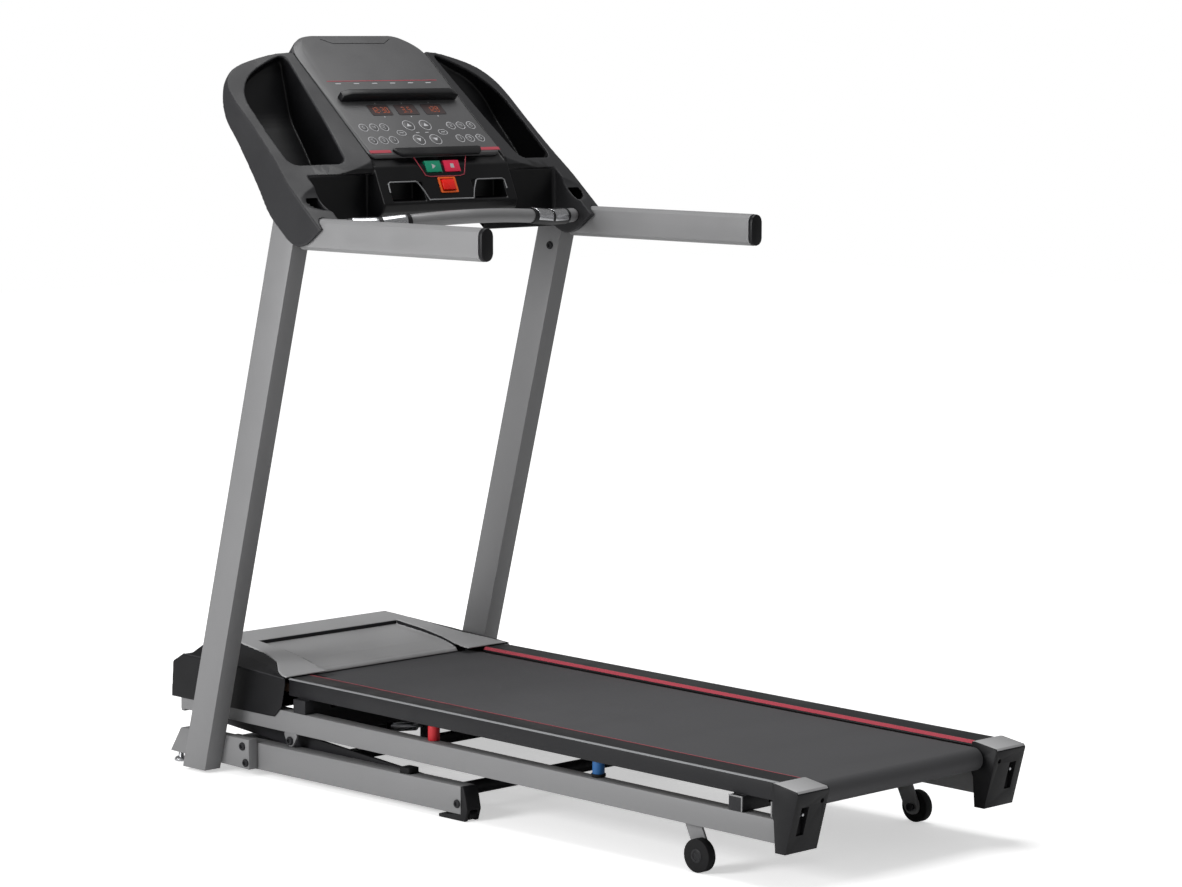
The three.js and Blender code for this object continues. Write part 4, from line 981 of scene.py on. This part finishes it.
def add_camera():
    """The camera, placed from the rear axle like everything else."""
    data = bpy.data.cameras.new("camera")
    data.lens = CAMERA["lens"]
    data.sensor_width = 36.0
    camera = bpy.data.objects.new("camera", data)
    bpy.context.scene.collection.objects.link(camera)
    tilt = Matrix.Rotation(math.radians(90 - CAMERA["elevation"]), 4, "X")
    turn = Matrix.Rotation(math.radians(CAMERA["azimuth"]), 4, "Z")
    roll = Matrix.Rotation(math.radians(CAMERA["roll"]), 4, "Z")
    place = Matrix.Translation((CAMERA["x"], CAMERA["y"] + AXLE.y, CAMERA["z"]))
    camera.matrix_world = place @ turn @ tilt @ roll
    bpy.context.scene.camera = camera


def add_area(name, location, target, size, power):
    """A round soft light aimed at a point."""
    data = bpy.data.lights.new(name, "AREA")
    data.shape = "DISK"
    data.size = size
    data.energy = power
    lamp = bpy.data.objects.new(name, data)
    lamp.location = location
    way = Vector(target) - Vector(location)
    lamp.rotation_euler = way.to_track_quat("-Z", "Y").to_euler()
    bpy.context.scene.collection.objects.link(lamp)


def shown_strength(tree, otherwise):
    """Full strength for what the camera sees directly, and another for every other ray."""
    path = tree.nodes.new("ShaderNodeLightPath")
    node = tree.nodes.new("ShaderNodeMapRange")
    node.inputs["To Min"].default_value = otherwise
    node.inputs["To Max"].default_value = 1.0
    tree.links.new(path.outputs["Is Camera Ray"], node.inputs["Value"])
    return node.outputs["Result"]


def floor_strength(tree):
    """What the floor adds to the light on it: less near the treadmill, where its shadows lie."""
    distance = tree.nodes.new("ShaderNodeVectorMath")
    distance.operation = "LENGTH"
    tree.links.new(tree.nodes.new("ShaderNodeTexCoord").outputs["Object"], distance.inputs[0])
    rise = tree.nodes.new("ShaderNodeMapRange")
    rise.inputs["From Min"].default_value = SHADOW_REACH
    rise.inputs["From Max"].default_value = FLOOR_FADE
    rise.inputs["To Min"].default_value = FLOOR_NEAR
    rise.inputs["To Max"].default_value = FLOOR_FAR
    tree.links.new(distance.outputs["Value"], rise.inputs["Value"])
    both = tree.nodes.new("ShaderNodeMath")
    both.operation = "MULTIPLY"
    tree.links.new(rise.outputs["Result"], both.inputs[0])
    tree.links.new(shown_strength(tree, 0.0), both.inputs[1])
    return both.outputs["Value"]


def add_floor():
    """A wide pale floor that stays nearly white between the soft shadows."""
    floor = Shape()
    half = FLOOR_HALF
    floor.prism(rectangle(-half, half, -half, half), lambda a, b, c: plain(a, b, c), -40.0, -0.6)
    mesh = bpy.data.meshes.new("floor")
    mesh.from_pydata([tuple(p) for p in floor.points], [], floor.faces)
    piece = bpy.data.objects.new("floor", mesh)
    bpy.context.scene.collection.objects.link(piece)
    surface = finish("floor_pale", (0.9, 0.9, 0.9, 1.0), 0.75, mottle=0.01, bump=0.02, specular=0.1)
    tree = surface.node_tree
    shader = tree.nodes["Principled BSDF"]
    shader.inputs["Emission Color"].default_value = (1.0, 1.0, 1.0, 1.0)
    tree.links.new(floor_strength(tree), shader.inputs["Emission Strength"])
    piece.data.materials.append(surface)


def add_studio():
    """Even white surroundings, a key light on the left side and a soft light overhead."""
    world = bpy.data.worlds.new("studio")
    world.use_nodes = True
    background = world.node_tree.nodes["Background"]
    background.inputs["Color"].default_value = (1.0, 1.0, 1.0, 1.0)
    world.node_tree.links.new(shown_strength(world.node_tree, AMBIENT), background.inputs["Strength"])
    bpy.context.scene.world = world
    bpy.context.scene.view_settings.view_transform = "Standard"
    add_area("key_light", (-5.0, 1.0, 2.2), (0, 0, 0.7), 2.2, 190)
    add_area("top_light", (0.3, 0.4, 5.0), (0, 0, 0.2), 3.0, 120)


give_finishes()
add_bolts()
add_bumpers()
add_rail_stripes_and_highlights()
add_deck_end()
add_wheel_hubs()
add_hood_slot()
add_cover_ledge_highlight()
add_power_inlet()
add_windows()
add_pads()
add_panel_print()
add_ledges()
add_fascia()
add_contact_plates()
add_back_details()
add_camera()
add_floor()
add_studio()
